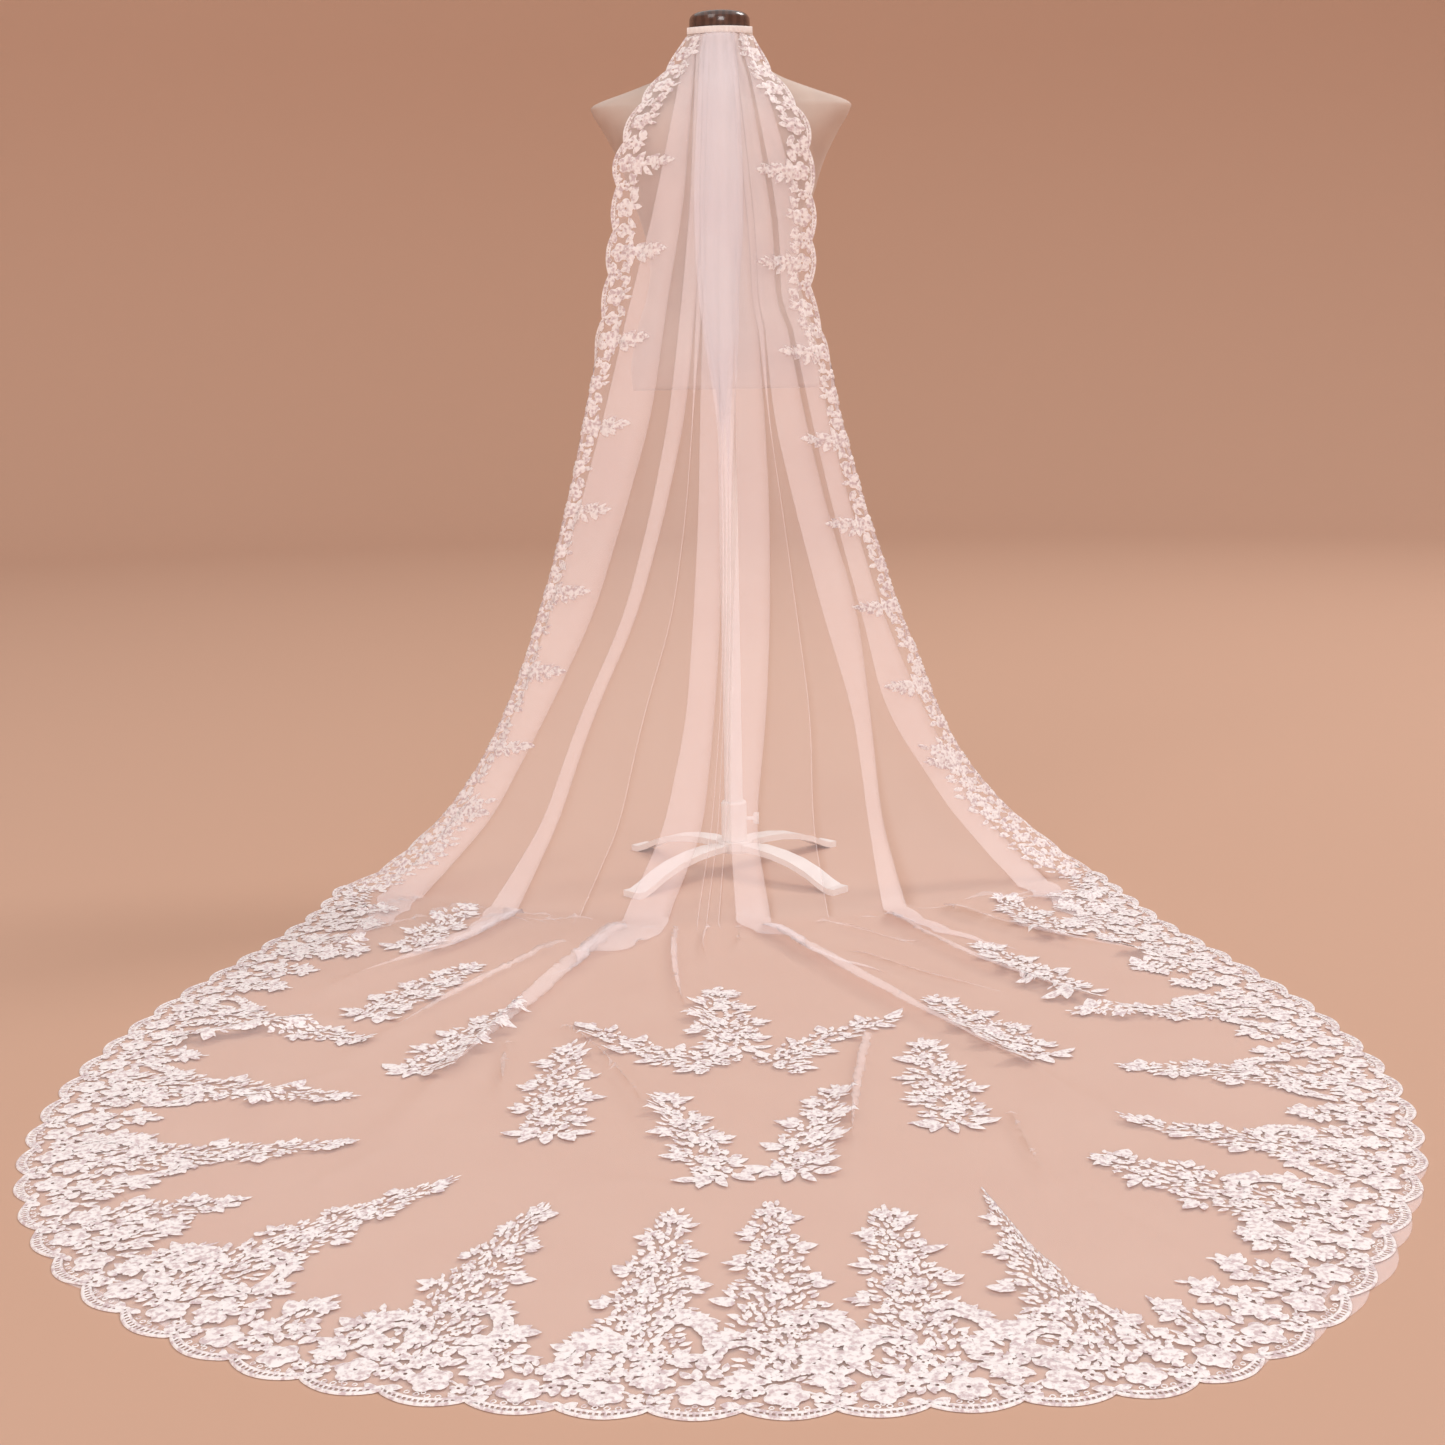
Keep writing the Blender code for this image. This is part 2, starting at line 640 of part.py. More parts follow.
def side_border(tree, side):
    """The pieces of a side border, turned under along its hinge, with their sprigs."""
    heights, lengths = edge_length(side)
    count = int(round(lengths[-1] / SIDE_PITCH))
    pitch = lengths[-1] / count
    cuts = [round(share * count) for share in SIDE_CUTS]
    along = []
    scallops = []
    for k in range(count):
        here = stations(k, k + 1, pitch, 0.08)
        if k in cuts:
            here[0] = k * pitch + SEAM / 2
        if k + 1 in cuts:
            here[-1] = (k + 1) * pitch - SEAM / 2
        along += here
        scallops += [k] * len(here)
    grid = []
    for n, s in enumerate(along):
        z = float(np.interp(s, lengths, heights))
        valley = n % 4 in (0, 3)
        inner = SIDE_BORDER + (0.0 if valley else 0.004)
        if scallops[n] % 2 == 1 and not valley and SPRIG_LOW < z < SPRIG_HIGH:
            inner = SIDE_BORDER + SPRIG
        inner += SIDE_WIDEN * smooth_step((0.30 - z) / 0.26)
        inner = lerp(0.034, inner, smooth_step((FALL[0][0] - z) / 0.08))
        edge = SIDE_DEPTH if valley else 0.0
        grid.append([side_point(z, d, side) for d in (edge, 0.012, SIDE_HINGE, 0.030, inner)])
    flat = np.array(grid)
    grid = seat_on_net(tree, flat.copy())
    joins = [4 * c - 1 for c in cuts[1:-1]]
    for r in joins:
        for c in range(2, grid.shape[1]):
            step = flat[r + 1, c] - flat[r, c]
            if grid[r, c][1] < grid[r + 1, c][1]:
                grid[r + 1, c] = grid[r, c] + step
            else:
                grid[r, c] = grid[r + 1, c] - step
    du = np.gradient(grid, axis=1)
    dv = np.gradient(grid, axis=0)
    normal = np.cross(du, dv)
    normal = normal / np.linalg.norm(normal, axis=2, keepdims=True)
    if float(normal[:, -1, 1].mean()) > 0:
        normal = -normal
    for r in joins:
        shared = normal[r] + normal[r + 1]
        shared = shared / np.linalg.norm(shared, axis=1, keepdims=True)
        normal[r] = shared
        normal[r + 1] = shared
    front = grid + normal * WALL
    pieces = []
    for k in range(len(cuts) - 1):
        rows = slice(4 * cuts[k], 4 * cuts[k + 1])
        size = 4 * (cuts[k + 1] - cuts[k])
        holes = {(n, 2) for n in range(size - 1) if n % 4 == 3}
        pieces.append(grid_faces(front[rows], grid[rows], holes))
    return pieces


def out_of_net(z):
    """Direction out of the hanging part: level above, tipping upward where it meets the floor."""
    tip = math.radians(85) * smooth_step((0.09 - z) / 0.09)
    return np.array((0.0, -math.cos(tip), math.sin(tip)))


def lack_of_room(tree, p, out):
    """How far a point must move outward to stand one gap clear of the net, or None if no net."""
    best = None
    for ox, oz in ((0, 0), (0.0015, 0), (-0.0015, 0), (0, 0.0015), (0, -0.0015)):
        aside = np.array((ox, -oz * out[2], oz * -out[1]))
        start = p + aside + out * 0.25
        hit = tree.ray_cast(Vector(start), Vector(-out))
        if hit[0] is not None and hit[3] < 0.40:
            ahead = 0.25 - hit[3] + LAP_GAP
            best = ahead if best is None else max(best, ahead)
    return best


def seat_on_net(tree, grid):
    """Lays the border's inner columns on the net, then lifts its cells clear of the folds."""
    rows, cols = grid.shape[:2]
    for r in range(rows):
        for c in range(2, cols):
            out = out_of_net(grid[r, c][2])
            lack = lack_of_room(tree, grid[r, c], out)
            if lack is not None:
                grid[r, c] = grid[r, c] + out * lack
    samples = []
    for r in range(rows - 1):
        for c in range(2, cols - 1):
            quad = ((r, c), (r, c + 1), (r + 1, c + 1), (r + 1, c))
            size = max(np.linalg.norm(grid[quad[i]] - grid[quad[i - 1]]) for i in range(4))
            n = max(3, int(size / 0.005))
            for tri in ((0, 1, 2), (0, 2, 3), (0, 1, 3), (1, 2, 3)):
                corners = tuple(quad[i] for i in tri)
                for i in range(n + 1):
                    for j in range(n + 1 - i):
                        samples.append((corners, (i / n, j / n, 1 - i / n - j / n)))
    for sweep in range(12):
        worst = 0.0
        for corners, w in samples:
            p = sum(grid[corners[k]] * w[k] for k in range(3))
            out = out_of_net(p[2])
            lack = lack_of_room(tree, p, out)
            if lack is None or lack < 1e-6:
                continue
            worst = max(worst, lack)
            share = sum(k * k for k in w)
            for k in range(3):
                grid[corners[k]] = grid[corners[k]] + out * lack * w[k] / share
        if worst < 2e-5:
            break
    return grid


def tree_outline(length, half, levels=4):
    """Outline of a spray of leaves: a stem with leaves on both sides, tip along +Y."""
    right = []
    for k in range(levels):
        t = k / levels
        y = -length / 2 + length * (0.05 + 0.95 * t)
        reach = half * (1 - 0.72 * t) * (0.78 if k == 0 else 1.0)
        right.append((reach, y + 0.10 * length))
        right.append((reach * 0.50, y + 0.17 * length))
    outline = [(0.0, -length / 2)] + right + [(0.0, length / 2)]
    outline += [(-x * 0.94, y - 0.02 * length) for x, y in reversed(right)]
    return outline


def arm_outline(length, half, leaves=5):
    """Outline of one arm of the garland: a bent row of leaves, tip along +Y."""
    right = []
    left = []
    for k in range(leaves):
        t = k / leaves
        y = -length / 2 + length * (0.04 + 0.90 * t)
        bend = 0.10 * length * (t - 0.5) ** 2
        reach = half * (1 - 0.55 * t)
        right.append((bend + reach, y + 0.05 * length))
        right.append((bend + reach * 0.55, y + 0.12 * length))
        left.append((bend - reach, y + 0.02 * length))
        left.append((bend - reach * 0.50, y + 0.10 * length))
    return [(0.02 * length, -length / 2)] + right + [(0.03 * length, length / 2)] + left[::-1]


def motif(tree, x, y, length, half, turn, form):
    outline = tree_outline(length, half) if form == "tree" else arm_outline(length, half)
    angle = math.radians(-turn)
    flat = []
    for px, py in outline:
        flat.append((x + px * math.cos(angle) - py * math.sin(angle),
                     y + px * math.sin(angle) + py * math.cos(angle)))
    n = len(flat)
    loop = [Vector((p[0], p[1], 0.0)) for p in flat]
    triangles = [tuple(t) for t in tessellate_polygon([loop])]
    heights = lay_on_floor(tree, flat, triangles, LAP_GAP)
    low = [(p[0], p[1], h) for p, h in zip(flat, heights)]
    high = [(p[0], p[1], h + WALL) for p, h in zip(flat, heights)]
    faces = []
    area = sum(flat[i][0] * flat[(i + 1) % n][1] - flat[(i + 1) % n][0] * flat[i][1]
               for i in range(n))
    for t in triangles:
        a, b, c = (flat[i] for i in t)
        if (b[0] - a[0]) * (c[1] - a[1]) - (b[1] - a[1]) * (c[0] - a[0]) < 0:
            t = (t[0], t[2], t[1])
        faces.append((t[0] + n, t[1] + n, t[2] + n))
        faces.append((t[2], t[1], t[0]))
    for i in range(n):
        j = (i + 1) % n
        if area < 0:
            faces.append((j, i, i + n))
            faces.append((j, i + n, j + n))
        else:
            faces.append((i, j, j + n))
            faces.append((i, j + n, i + n))
    return tidy(low + high, faces)


def lathe(profile, count, centre=(0.0, 0.0)):
    """Closed turned body from (radius, z) pairs, first and last on the axis."""
    points = []
    rings = []
    for r, z in profile:
        if r < 1e-6:
            rings.append([len(points)])
            points.append((centre[0], centre[1], z))
            continue
        ring = []
        for k in range(count):
            a = 2 * math.pi * k / count
            ring.append(len(points))
            points.append((centre[0] + r * math.cos(a), centre[1] + r * math.sin(a), z))
        rings.append(ring)
    faces = []
    for low, high in zip(rings, rings[1:]):
        for k in range(count):
            m = (k + 1) % count
            if len(low) == 1:
                faces.append((low[0], high[m], high[k]))
            elif len(high) == 1:
                faces.append((low[k], low[m], high[0]))
            else:
                faces.append((low[k], low[m], high[m]))
                faces.append((low[k], high[m], high[k]))
    return tidy(points, faces)


# Sections of the dress form: height, half width, half depth, middle of the depth, squareness
TORSO = (
    (0.790, 0.148, 0.100, 0.000, 2.2),
    (0.830, 0.150, 0.104, 0.000, 2.2),
    (0.880, 0.140, 0.100, 0.000, 2.2),
    (0.940, 0.122, 0.090, 0.002, 2.2),
    (0.985, 0.116, 0.086, 0.004, 2.2),
    (1.040, 0.126, 0.096, 0.008, 2.2),
    (1.095, 0.145, 0.110, 0.010, 2.3),
    (1.140, 0.160, 0.112, 0.006, 2.4),
    (1.180, 0.180, 0.100, -0.004, 2.5),
    (1.212, 0.199, 0.078, -0.012, 2.4),
    (1.226, 0.196, 0.066, -0.014, 2.2),
    (1.246, 0.140, 0.058, -0.014, 2.1),
    (1.266, 0.090, 0.054, -0.012, 2.0),
    (1.290, 0.060, 0.051, -0.010, 2.0),
    (1.333, 0.050, 0.047, -0.009, 2.0),
)


def torso():
    count = 32
    points = []
    rings = []
    for z, wide, deep, middle, power in TORSO:
        ring = []
        for k in range(count):
            a = 2 * math.pi * k / count
            c, s = math.cos(a), math.sin(a)
            x = wide * math.copysign(abs(c) ** (2 / power), c)
            y = middle + deep * math.copysign(abs(s) ** (2 / power), s)
            ring.append(len(points))
            points.append((x, y, z))
        rings.append(ring)
    low = len(points)
    points.append((0.0, TORSO[0][3], TORSO[0][0]))
    high = len(points)
    points.append((0.0, TORSO[-1][3], TORSO[-1][0]))
    faces = []
    for a, b in zip(rings, rings[1:]):
        for k in range(count):
            m = (k + 1) % count
            faces.append((a[k], a[m], b[m]))
            faces.append((a[k], b[m], b[k]))
    for k in range(count):
        m = (k + 1) % count
        faces.append((low, rings[0][m], rings[0][k]))
        faces.append((high, rings[-1][k], rings[-1][m]))
    return tidy(points, faces)


def leg(sign_x, sign_y):
    """One arched flat bar of the base, from the hub out to its foot."""
    foot = LEG_REACH * math.sqrt(2)
    sole = LEG_THICK / 2
    profile = ((HUB_R + SEAM, 0.044), (0.060, 0.045), (0.100, 0.042), (0.140, 0.035), (0.175, 0.024),
               (0.203, 0.011), (foot - 0.006, sole), (foot + 0.008, sole))
    direction = np.array((sign_x, sign_y, 0.0)) / math.sqrt(2)
    across = np.array((-direction[1], direction[0], 0.0))
    front = []
    back = []
    for n, (r, z) in enumerate(profile):
        half = LEG_WIDTH / 2 * (0.8 if n == 0 else 1.0)
        centre = direction * r
        top = np.array((0, 0, z + LEG_THICK / 2))
        low = np.array((0, 0, z - LEG_THICK / 2))
        front.append([centre + top - across * half, centre + top + across * half])
        back.append([centre + low - across * half, centre + low + across * half])
    return grid_faces(np.array(front), np.array(back))


def header_band():
    """Straight folded band that the net is gathered into, curved round the back of the neck."""
    low, high = 1.3238, 1.3335
    front = []
    back = []
    for k in range(15):
        x = lerp(-0.050, 0.050, k / 14)
        y = fall_depth(x, 1.322)
        front.append([(x, y - 0.0016, low), (x, y - 0.0016, high)])
        back.append([(x, y + 0.0010, low), (x, y + 0.0010, high)])
    return grid_faces(np.array(front), np.array(back))


def thumb_screw():
    """Small screw with a flat wing, into the pole's collar from the right."""
    points, faces = lathe(((0.0, 0.0), (0.003, 0.0), (0.003, 0.010), (0.007, 0.012),
                           (0.007, 0.020), (0.0, 0.020)), 12)
    turned_points = []
    for x, y, z in points:
        turned_points.append(np.array((COLLAR_R + SEAM + z, x * 0.45 if z > 0.011 else x,
                                       0.088 + (y * 1.4 if z > 0.011 else y))))
    return tidy(turned_points, faces)


def shift(part, offset):
    points, faces = part
    return [np.array(p) + np.array(offset) for p in points], faces


def gap_behind(veil, body):
    """Smallest distance along Y from the veil's points back to the dress form."""
    body_tree = tree_of([body])
    veil_tree = tree_of([veil])
    best = 1.0
    for p in veil[0]:
        hit = body_tree.ray_cast(Vector((p[0], p[1] - 0.2, p[2])), Vector((0, 1, 0)))
        if hit[0] is not None:
            best = min(best, hit[0].y - p[1])
    for p in body[0]:
        if p[1] > 0:
            continue
        hit = veil_tree.ray_cast(Vector((p[0], 0.5, p[2])), Vector((0, -1, 0)))
        if hit[0] is not None:
            best = min(best, p[1] - hit[0].y)
    return best


def build():
    net = material("net", (0.86, 0.80, 0.77), 0.75, 0.45)
    lace = material("lace", (0.90, 0.86, 0.86), 0.7)
    band = material("header_satin", (0.92, 0.88, 0.86), 0.4)
    form = material("form_cloth", (0.62, 0.50, 0.42), 0.8)
    cap = material("neck_cap_wood", (0.09, 0.05, 0.04), 0.3)
    paint = material("stand_paint", (0.86, 0.84, 0.83), 0.35)

    parts = {}
    parts["torso"] = (torso(), form, True)
    parts["neck_cap"] = (lathe(((0.0, NECK_TOP + SEAM), (0.046, NECK_TOP + SEAM),
                                (0.047, NECK_TOP + 0.014), (0.042, CAP_TOP - 0.005),
                                (0.030, CAP_TOP), (0.0, CAP_TOP)), 32, (0.0, -0.009)), cap, True)
    parts["pole"] = (lathe(((0.0, HUB_TOP + SEAM), (POLE_R, HUB_TOP + SEAM),
                            (POLE_R, FORM_BASE - SEAM), (0.0, FORM_BASE - SEAM)), 24),
                     paint, False)
    parts["pole_collar"] = (collar(), paint, False)
    parts["thumb_screw"] = (thumb_screw(), paint, False)
    parts["base_hub"] = (lathe(((0.0, 0.034), (HUB_R - 0.002, 0.034), (HUB_R, 0.038),
                                (HUB_R, HUB_TOP), (0.0, HUB_TOP)), 24), paint, False)
    for n, (sx, sy) in enumerate(((-1, -1), (1, -1), (1, 1), (-1, 1))):
        parts["base_leg_%d" % (n + 1)] = (leg(sx, sy), paint, False)

    fall = close_grid(net_fall_grid(), WALL, outward=(0, -1, 0))
    move = gap_behind(fall, parts["torso"][0]) - SEAM
    fall = shift(fall, (0, move, 0))
    train = shift(wall_on_floor(net_train_grid(), WALL), (0, move, 0))
    print("veil moved back by", move)
    parts["net_fall"] = (fall, net, True)
    parts["net_train"] = (train, net, True)
    parts["header_band"] = (shift(header_band(), (0, move, 0)), band, False)

    fall_tree = tree_of([shift(fall, (0, -move, 0))])
    for side, name in ((-1, "left"), (1, "right")):
        for k, piece in enumerate(side_border(fall_tree, side)):
            parts["border_%s_%d" % (name, k + 1)] = (shift(piece, (0, move, 0)), lace, False)

    floor_tree = tree_of([shift(train, (0, -move, 0)), shift(fall, (0, -move, 0))])
    scallops = int(round((hem.length - 2 * HEM_START) / PITCH))
    pitch = (hem.length - 2 * HEM_START) / scallops
    pieces = 10
    cuts = [round(k * scallops / pieces) for k in range(pieces + 1)]
    for k in range(pieces):
        piece = hem_border(floor_tree, cuts[k], cuts[k + 1], pitch)
        parts["border_hem_%02d" % (k + 1)] = (shift(piece, (0, move, 0)), lace, False)
    for n, row in enumerate(MOTIFS):
        parts["motif_%02d" % (n + 1)] = (shift(motif(floor_tree, *row), (0, move, 0)), lace, False)

    low = np.min([np.min(p[0][0], axis=0) for p in parts.values()], axis=0)
    high = np.max([np.max(p[0][0], axis=0) for p in parts.values()], axis=0)
    centre = np.array(((low[0] + high[0]) / 2, (low[1] + high[1]) / 2, low[2]))
    print("pole stands at", -centre)
    total = 0
    for name, (piece, mat, smooth) in parts.items():
        points, faces = shift(piece, -centre)
        add_object(name, points, faces, mat, smooth)
        total += len(faces)
    print("triangles", total, "size", high - low)


def collar():
    """Ring round the foot of the pole, above the hub."""
    inner = POLE_R + SEAM
    low, high = HUB_TOP + SEAM, 0.118
    profile = ((inner, low), (COLLAR_R, low), (COLLAR_R, high - 0.003), (COLLAR_R - 0.002, high),
               (inner, high))
    count = 24
    points = []
    for r, z in profile:
        for k in range(count):
            a = 2 * math.pi * k / count
            points.append((r * math.cos(a), r * math.sin(a), z))
    faces = []
    rings = len(profile)
    for j in range(rings):
        n = (j + 1) % rings
        for k in range(count):
            m = (k + 1) % count
            faces.append((j * count + k, j * count + m, n * count + m))
            faces.append((j * count + k, n * count + m, n * count + k))
    return tidy(points, faces)


build()
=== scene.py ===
# Looks of the cathedral bridal veil on its dress form. Metres, +Z up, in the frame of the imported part.
# The veil's tables count from the pole's foot. VEIL and POLE carry them to the row's frame.
import math
import bpy
import numpy as np
from mathutils import Matrix, Vector
from mathutils.bvhtree import BVHTree


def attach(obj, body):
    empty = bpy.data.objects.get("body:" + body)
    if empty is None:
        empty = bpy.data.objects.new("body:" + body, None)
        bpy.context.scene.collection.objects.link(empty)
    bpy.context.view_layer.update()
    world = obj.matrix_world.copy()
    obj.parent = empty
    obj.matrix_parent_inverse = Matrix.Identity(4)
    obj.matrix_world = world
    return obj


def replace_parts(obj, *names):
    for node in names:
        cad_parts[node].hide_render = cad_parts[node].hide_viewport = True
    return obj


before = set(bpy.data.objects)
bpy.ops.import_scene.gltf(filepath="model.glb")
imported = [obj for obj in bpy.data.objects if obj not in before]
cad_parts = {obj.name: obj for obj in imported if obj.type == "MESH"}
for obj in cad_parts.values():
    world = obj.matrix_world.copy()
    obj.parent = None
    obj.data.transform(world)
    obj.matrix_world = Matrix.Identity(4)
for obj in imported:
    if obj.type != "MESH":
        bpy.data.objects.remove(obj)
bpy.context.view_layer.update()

POLE = np.array((0.02487885, 0.77700672, 0.0))
VEIL = POLE + np.array((0.0, 0.00494598, 0.0))

PITCH = 0.075            # one scallop of the hem border
DEPTH = 0.013            # rise of a scallop
SIDE_PITCH = 0.067       # one scallop of the narrow side border
SIDE_DEPTH = 0.008
SIDE_HINGE = 0.020       # the side border turns under along this line
TURN = math.radians(84)
SPRIG_LOW = 0.12         # sprigs grow from the side border between these heights
SPRIG_HIGH = 1.22
WIDE_BELOW = {-1: 0.16, 1: 0.22}     # height under which each side border is wide
FOOT_POWER = 1.7         # how the fall bends back towards its side edges
END_FAN = 0.20           # length over which the hem turns square to the side edges
CORNER_LEFT = 0.352      # ends of the train's front line, as shares of the hem
CORNER_RIGHT = 0.655
NET_Z = 0.0007           # the net lies this far over the floor
LIFT = 0.0007            # the lace lies this far over the net
NET_INSET = 0.0012       # the net ends this far inside the scalloped edge
NET_EDGE = 0.0248        # depth from the edge at which the turned lip meets the folds
FOLD_RISE = 0.0055       # height of a fold that is laid over the train
SPRAY_FOOT = 0.055       # depth at which the sprays leave the hem border
TUFT = 0.0084            # spacing of the leaves in sprays and garlands
LAYER = 5                # columns of one layer of a fold
CORE_LAYER = 9           # the same in the wide folds of the gathered middle
GAP = 6                  # columns between two folds
LIP = 7                  # columns from the folds out to the scalloped edge
TRAIN_ROWS = 150

# Sections of the hanging part: height, depth of the middle, depth of the side edges, left, right.
FALL = (
    # z      y_mid   y_side   left    right
    (1.322, -0.0640, -0.0480, -0.052, 0.052),
    (1.300, -0.0700, -0.0560, -0.066, 0.062),
    (1.270, -0.0850, -0.0680, -0.088, 0.080),
    (1.235, -0.1030, -0.0830, -0.118, 0.104),
    (1.200, -0.1150, -0.0930, -0.140, 0.127),
    (1.165, -0.1230, -0.0970, -0.156, 0.138),
    (1.125, -0.1280, -0.0980, -0.168, 0.141),
    (1.070, -0.1320, -0.0990, -0.171, 0.143),
    (1.000, -0.1370, -0.1010, -0.181, 0.143),
    (0.920, -0.1430, -0.1040, -0.191, 0.141),
    (0.835, -0.1500, -0.1070, -0.202, 0.160),
    (0.758, -0.1560, -0.1090, -0.219, 0.174),
    (0.682, -0.1630, -0.1100, -0.236, 0.194),
    (0.604, -0.1700, -0.1100, -0.256, 0.215),
    (0.526, -0.1780, -0.1090, -0.277, 0.241),
    (0.447, -0.1870, -0.1070, -0.303, 0.266),
    (0.368, -0.1970, -0.1040, -0.330, 0.298),
    (0.288, -0.2080, -0.1000, -0.364, 0.328),
    (0.207, -0.2220, -0.0940, -0.407, 0.370),
    (0.130, -0.2400, -0.0860, -0.463, 0.430),
    (0.075, -0.2600, -0.0780, -0.520, 0.490),
    (0.034, -0.2830, -0.0700, -0.576, 0.545),
    (0.010, -0.3070, -0.0630, -0.622, 0.580),
    (0.000, -0.3350, -0.0560, -0.650, 0.596),
)


def thin(left):
    """Row of a pleat that is pinched to a line there."""
    return left, round(left + 0.001, 3), 0.001


# Folded pleats, each three layers deep, from left to right. Each row is one pleat at one of
# FOLD_HEIGHTS: its left line, its right line and how far it stands out.
FOLD_HEIGHTS = (1.322, 1.070, 0.920, 0.745, 0.604, 0.447, 0.288, 0.125, 0.000)
FOLDS = {
    "left_band": (
        (-0.046, -0.036, 0.004), (-0.100, -0.060, 0.006), (-0.144, -0.089, 0.007),
        (-0.190, -0.118, 0.008), (-0.232, -0.162, 0.009), (-0.282, -0.214, 0.009),
        (-0.342, -0.294, 0.009), (-0.440, -0.386, 0.008), (-0.560, -0.500, 0.005)),
    "left_diagonal": (
        (-0.034, -0.022, 0.004), (-0.048, -0.030, 0.006), (-0.064, -0.045, 0.007),
        (-0.088, -0.066, 0.008), (-0.119, -0.099, 0.008), (-0.163, -0.145, 0.008),
        (-0.238, -0.219, 0.008), (-0.300, -0.278, 0.007), (-0.380, -0.340, 0.005)),
    "left_gather": (
        (-0.021, -0.015, 0.004), (-0.029, -0.023, 0.005), (-0.043, -0.035, 0.004),
        thin(-0.053), thin(-0.066), thin(-0.090), thin(-0.140), thin(-0.180), thin(-0.240)),
    "middle_left": (
        (-0.014, -0.005, 0.004), (-0.022, -0.006, 0.007), (-0.032, -0.010, 0.008),
        (-0.040, -0.012, 0.009), (-0.045, -0.013, 0.009), (-0.056, -0.017, 0.010),
        (-0.070, -0.030, 0.010), (-0.108, -0.050, 0.009), (-0.170, -0.105, 0.007)),
    "core_left": (
        (-0.028, 0.012, 0.004), (-0.044, 0.014, 0.006), (-0.040, 0.012, 0.005),
        (-0.014, -0.006, 0.003), (-0.010, -0.008, 0.001), thin(-0.012),
        thin(-0.020), thin(-0.036), thin(-0.060)),
    "core_middle": (
        (-0.022, 0.018, 0.006), (-0.034, 0.022, 0.010), (-0.034, 0.016, 0.008),
        (-0.008, 0.004, 0.004), (-0.004, -0.002, 0.001), thin(-0.007),
        thin(-0.015), thin(-0.026), thin(-0.046)),
    "core_right": (
        (-0.014, 0.024, 0.008), (-0.026, 0.030, 0.014), (-0.028, 0.022, 0.011),
        (-0.002, 0.010, 0.005), (0.001, 0.003, 0.001), thin(-0.001),
        thin(-0.008), thin(-0.014), thin(-0.028)),
    "middle_right": (
        (0.004, 0.013, 0.004), (0.010, 0.032, 0.007), (0.014, 0.045, 0.008),
        (0.014, 0.056, 0.009), (0.014, 0.061, 0.009), (0.004, 0.059, 0.010),
        (-0.003, 0.050, 0.010), (-0.006, 0.030, 0.009), (0.000, 0.050, 0.007)),
    "right_gather": (
        (0.014, 0.019, 0.004), (0.034, 0.043, 0.005), (0.047, 0.056, 0.004),
        thin(0.063), thin(0.082), thin(0.101), thin(0.120), thin(0.120), thin(0.138)),
    "right_wedge": (
        (0.020, 0.029, 0.004), (0.045, 0.068, 0.006), (0.058, 0.085, 0.007),
        (0.072, 0.118, 0.008), (0.104, 0.150, 0.009), (0.143, 0.196, 0.009),
        (0.190, 0.214, 0.009), (0.209, 0.228, 0.008), (0.225, 0.260, 0.005)),
    "right_band": (
        (0.034, 0.043, 0.004), (0.080, 0.112, 0.006), (0.096, 0.122, 0.007),
        (0.130, 0.155, 0.008), (0.162, 0.188, 0.009), (0.204, 0.234, 0.009),
        (0.240, 0.300, 0.009), (0.345, 0.385, 0.008), (0.450, 0.500, 0.005)),
}

# Outline of the train on the floor, from the left side edge round the front to the right.
HEM = (
    (-0.650, -0.056), (-0.664, -0.250), (-0.711, -0.460), (-0.768, -0.680), (-0.797, -0.930),
    (-0.776, -1.170), (-0.700, -1.370), (-0.571, -1.540), (-0.400, -1.660), (-0.200, -1.720),
    (0.000, -1.737), (0.200, -1.729), (0.368, -1.700), (0.500, -1.598), (0.612, -1.430),
    (0.700, -1.250), (0.745, -1.030), (0.735, -0.780), (0.685, -0.550), (0.635, -0.350),
    (0.596, -0.056),
)

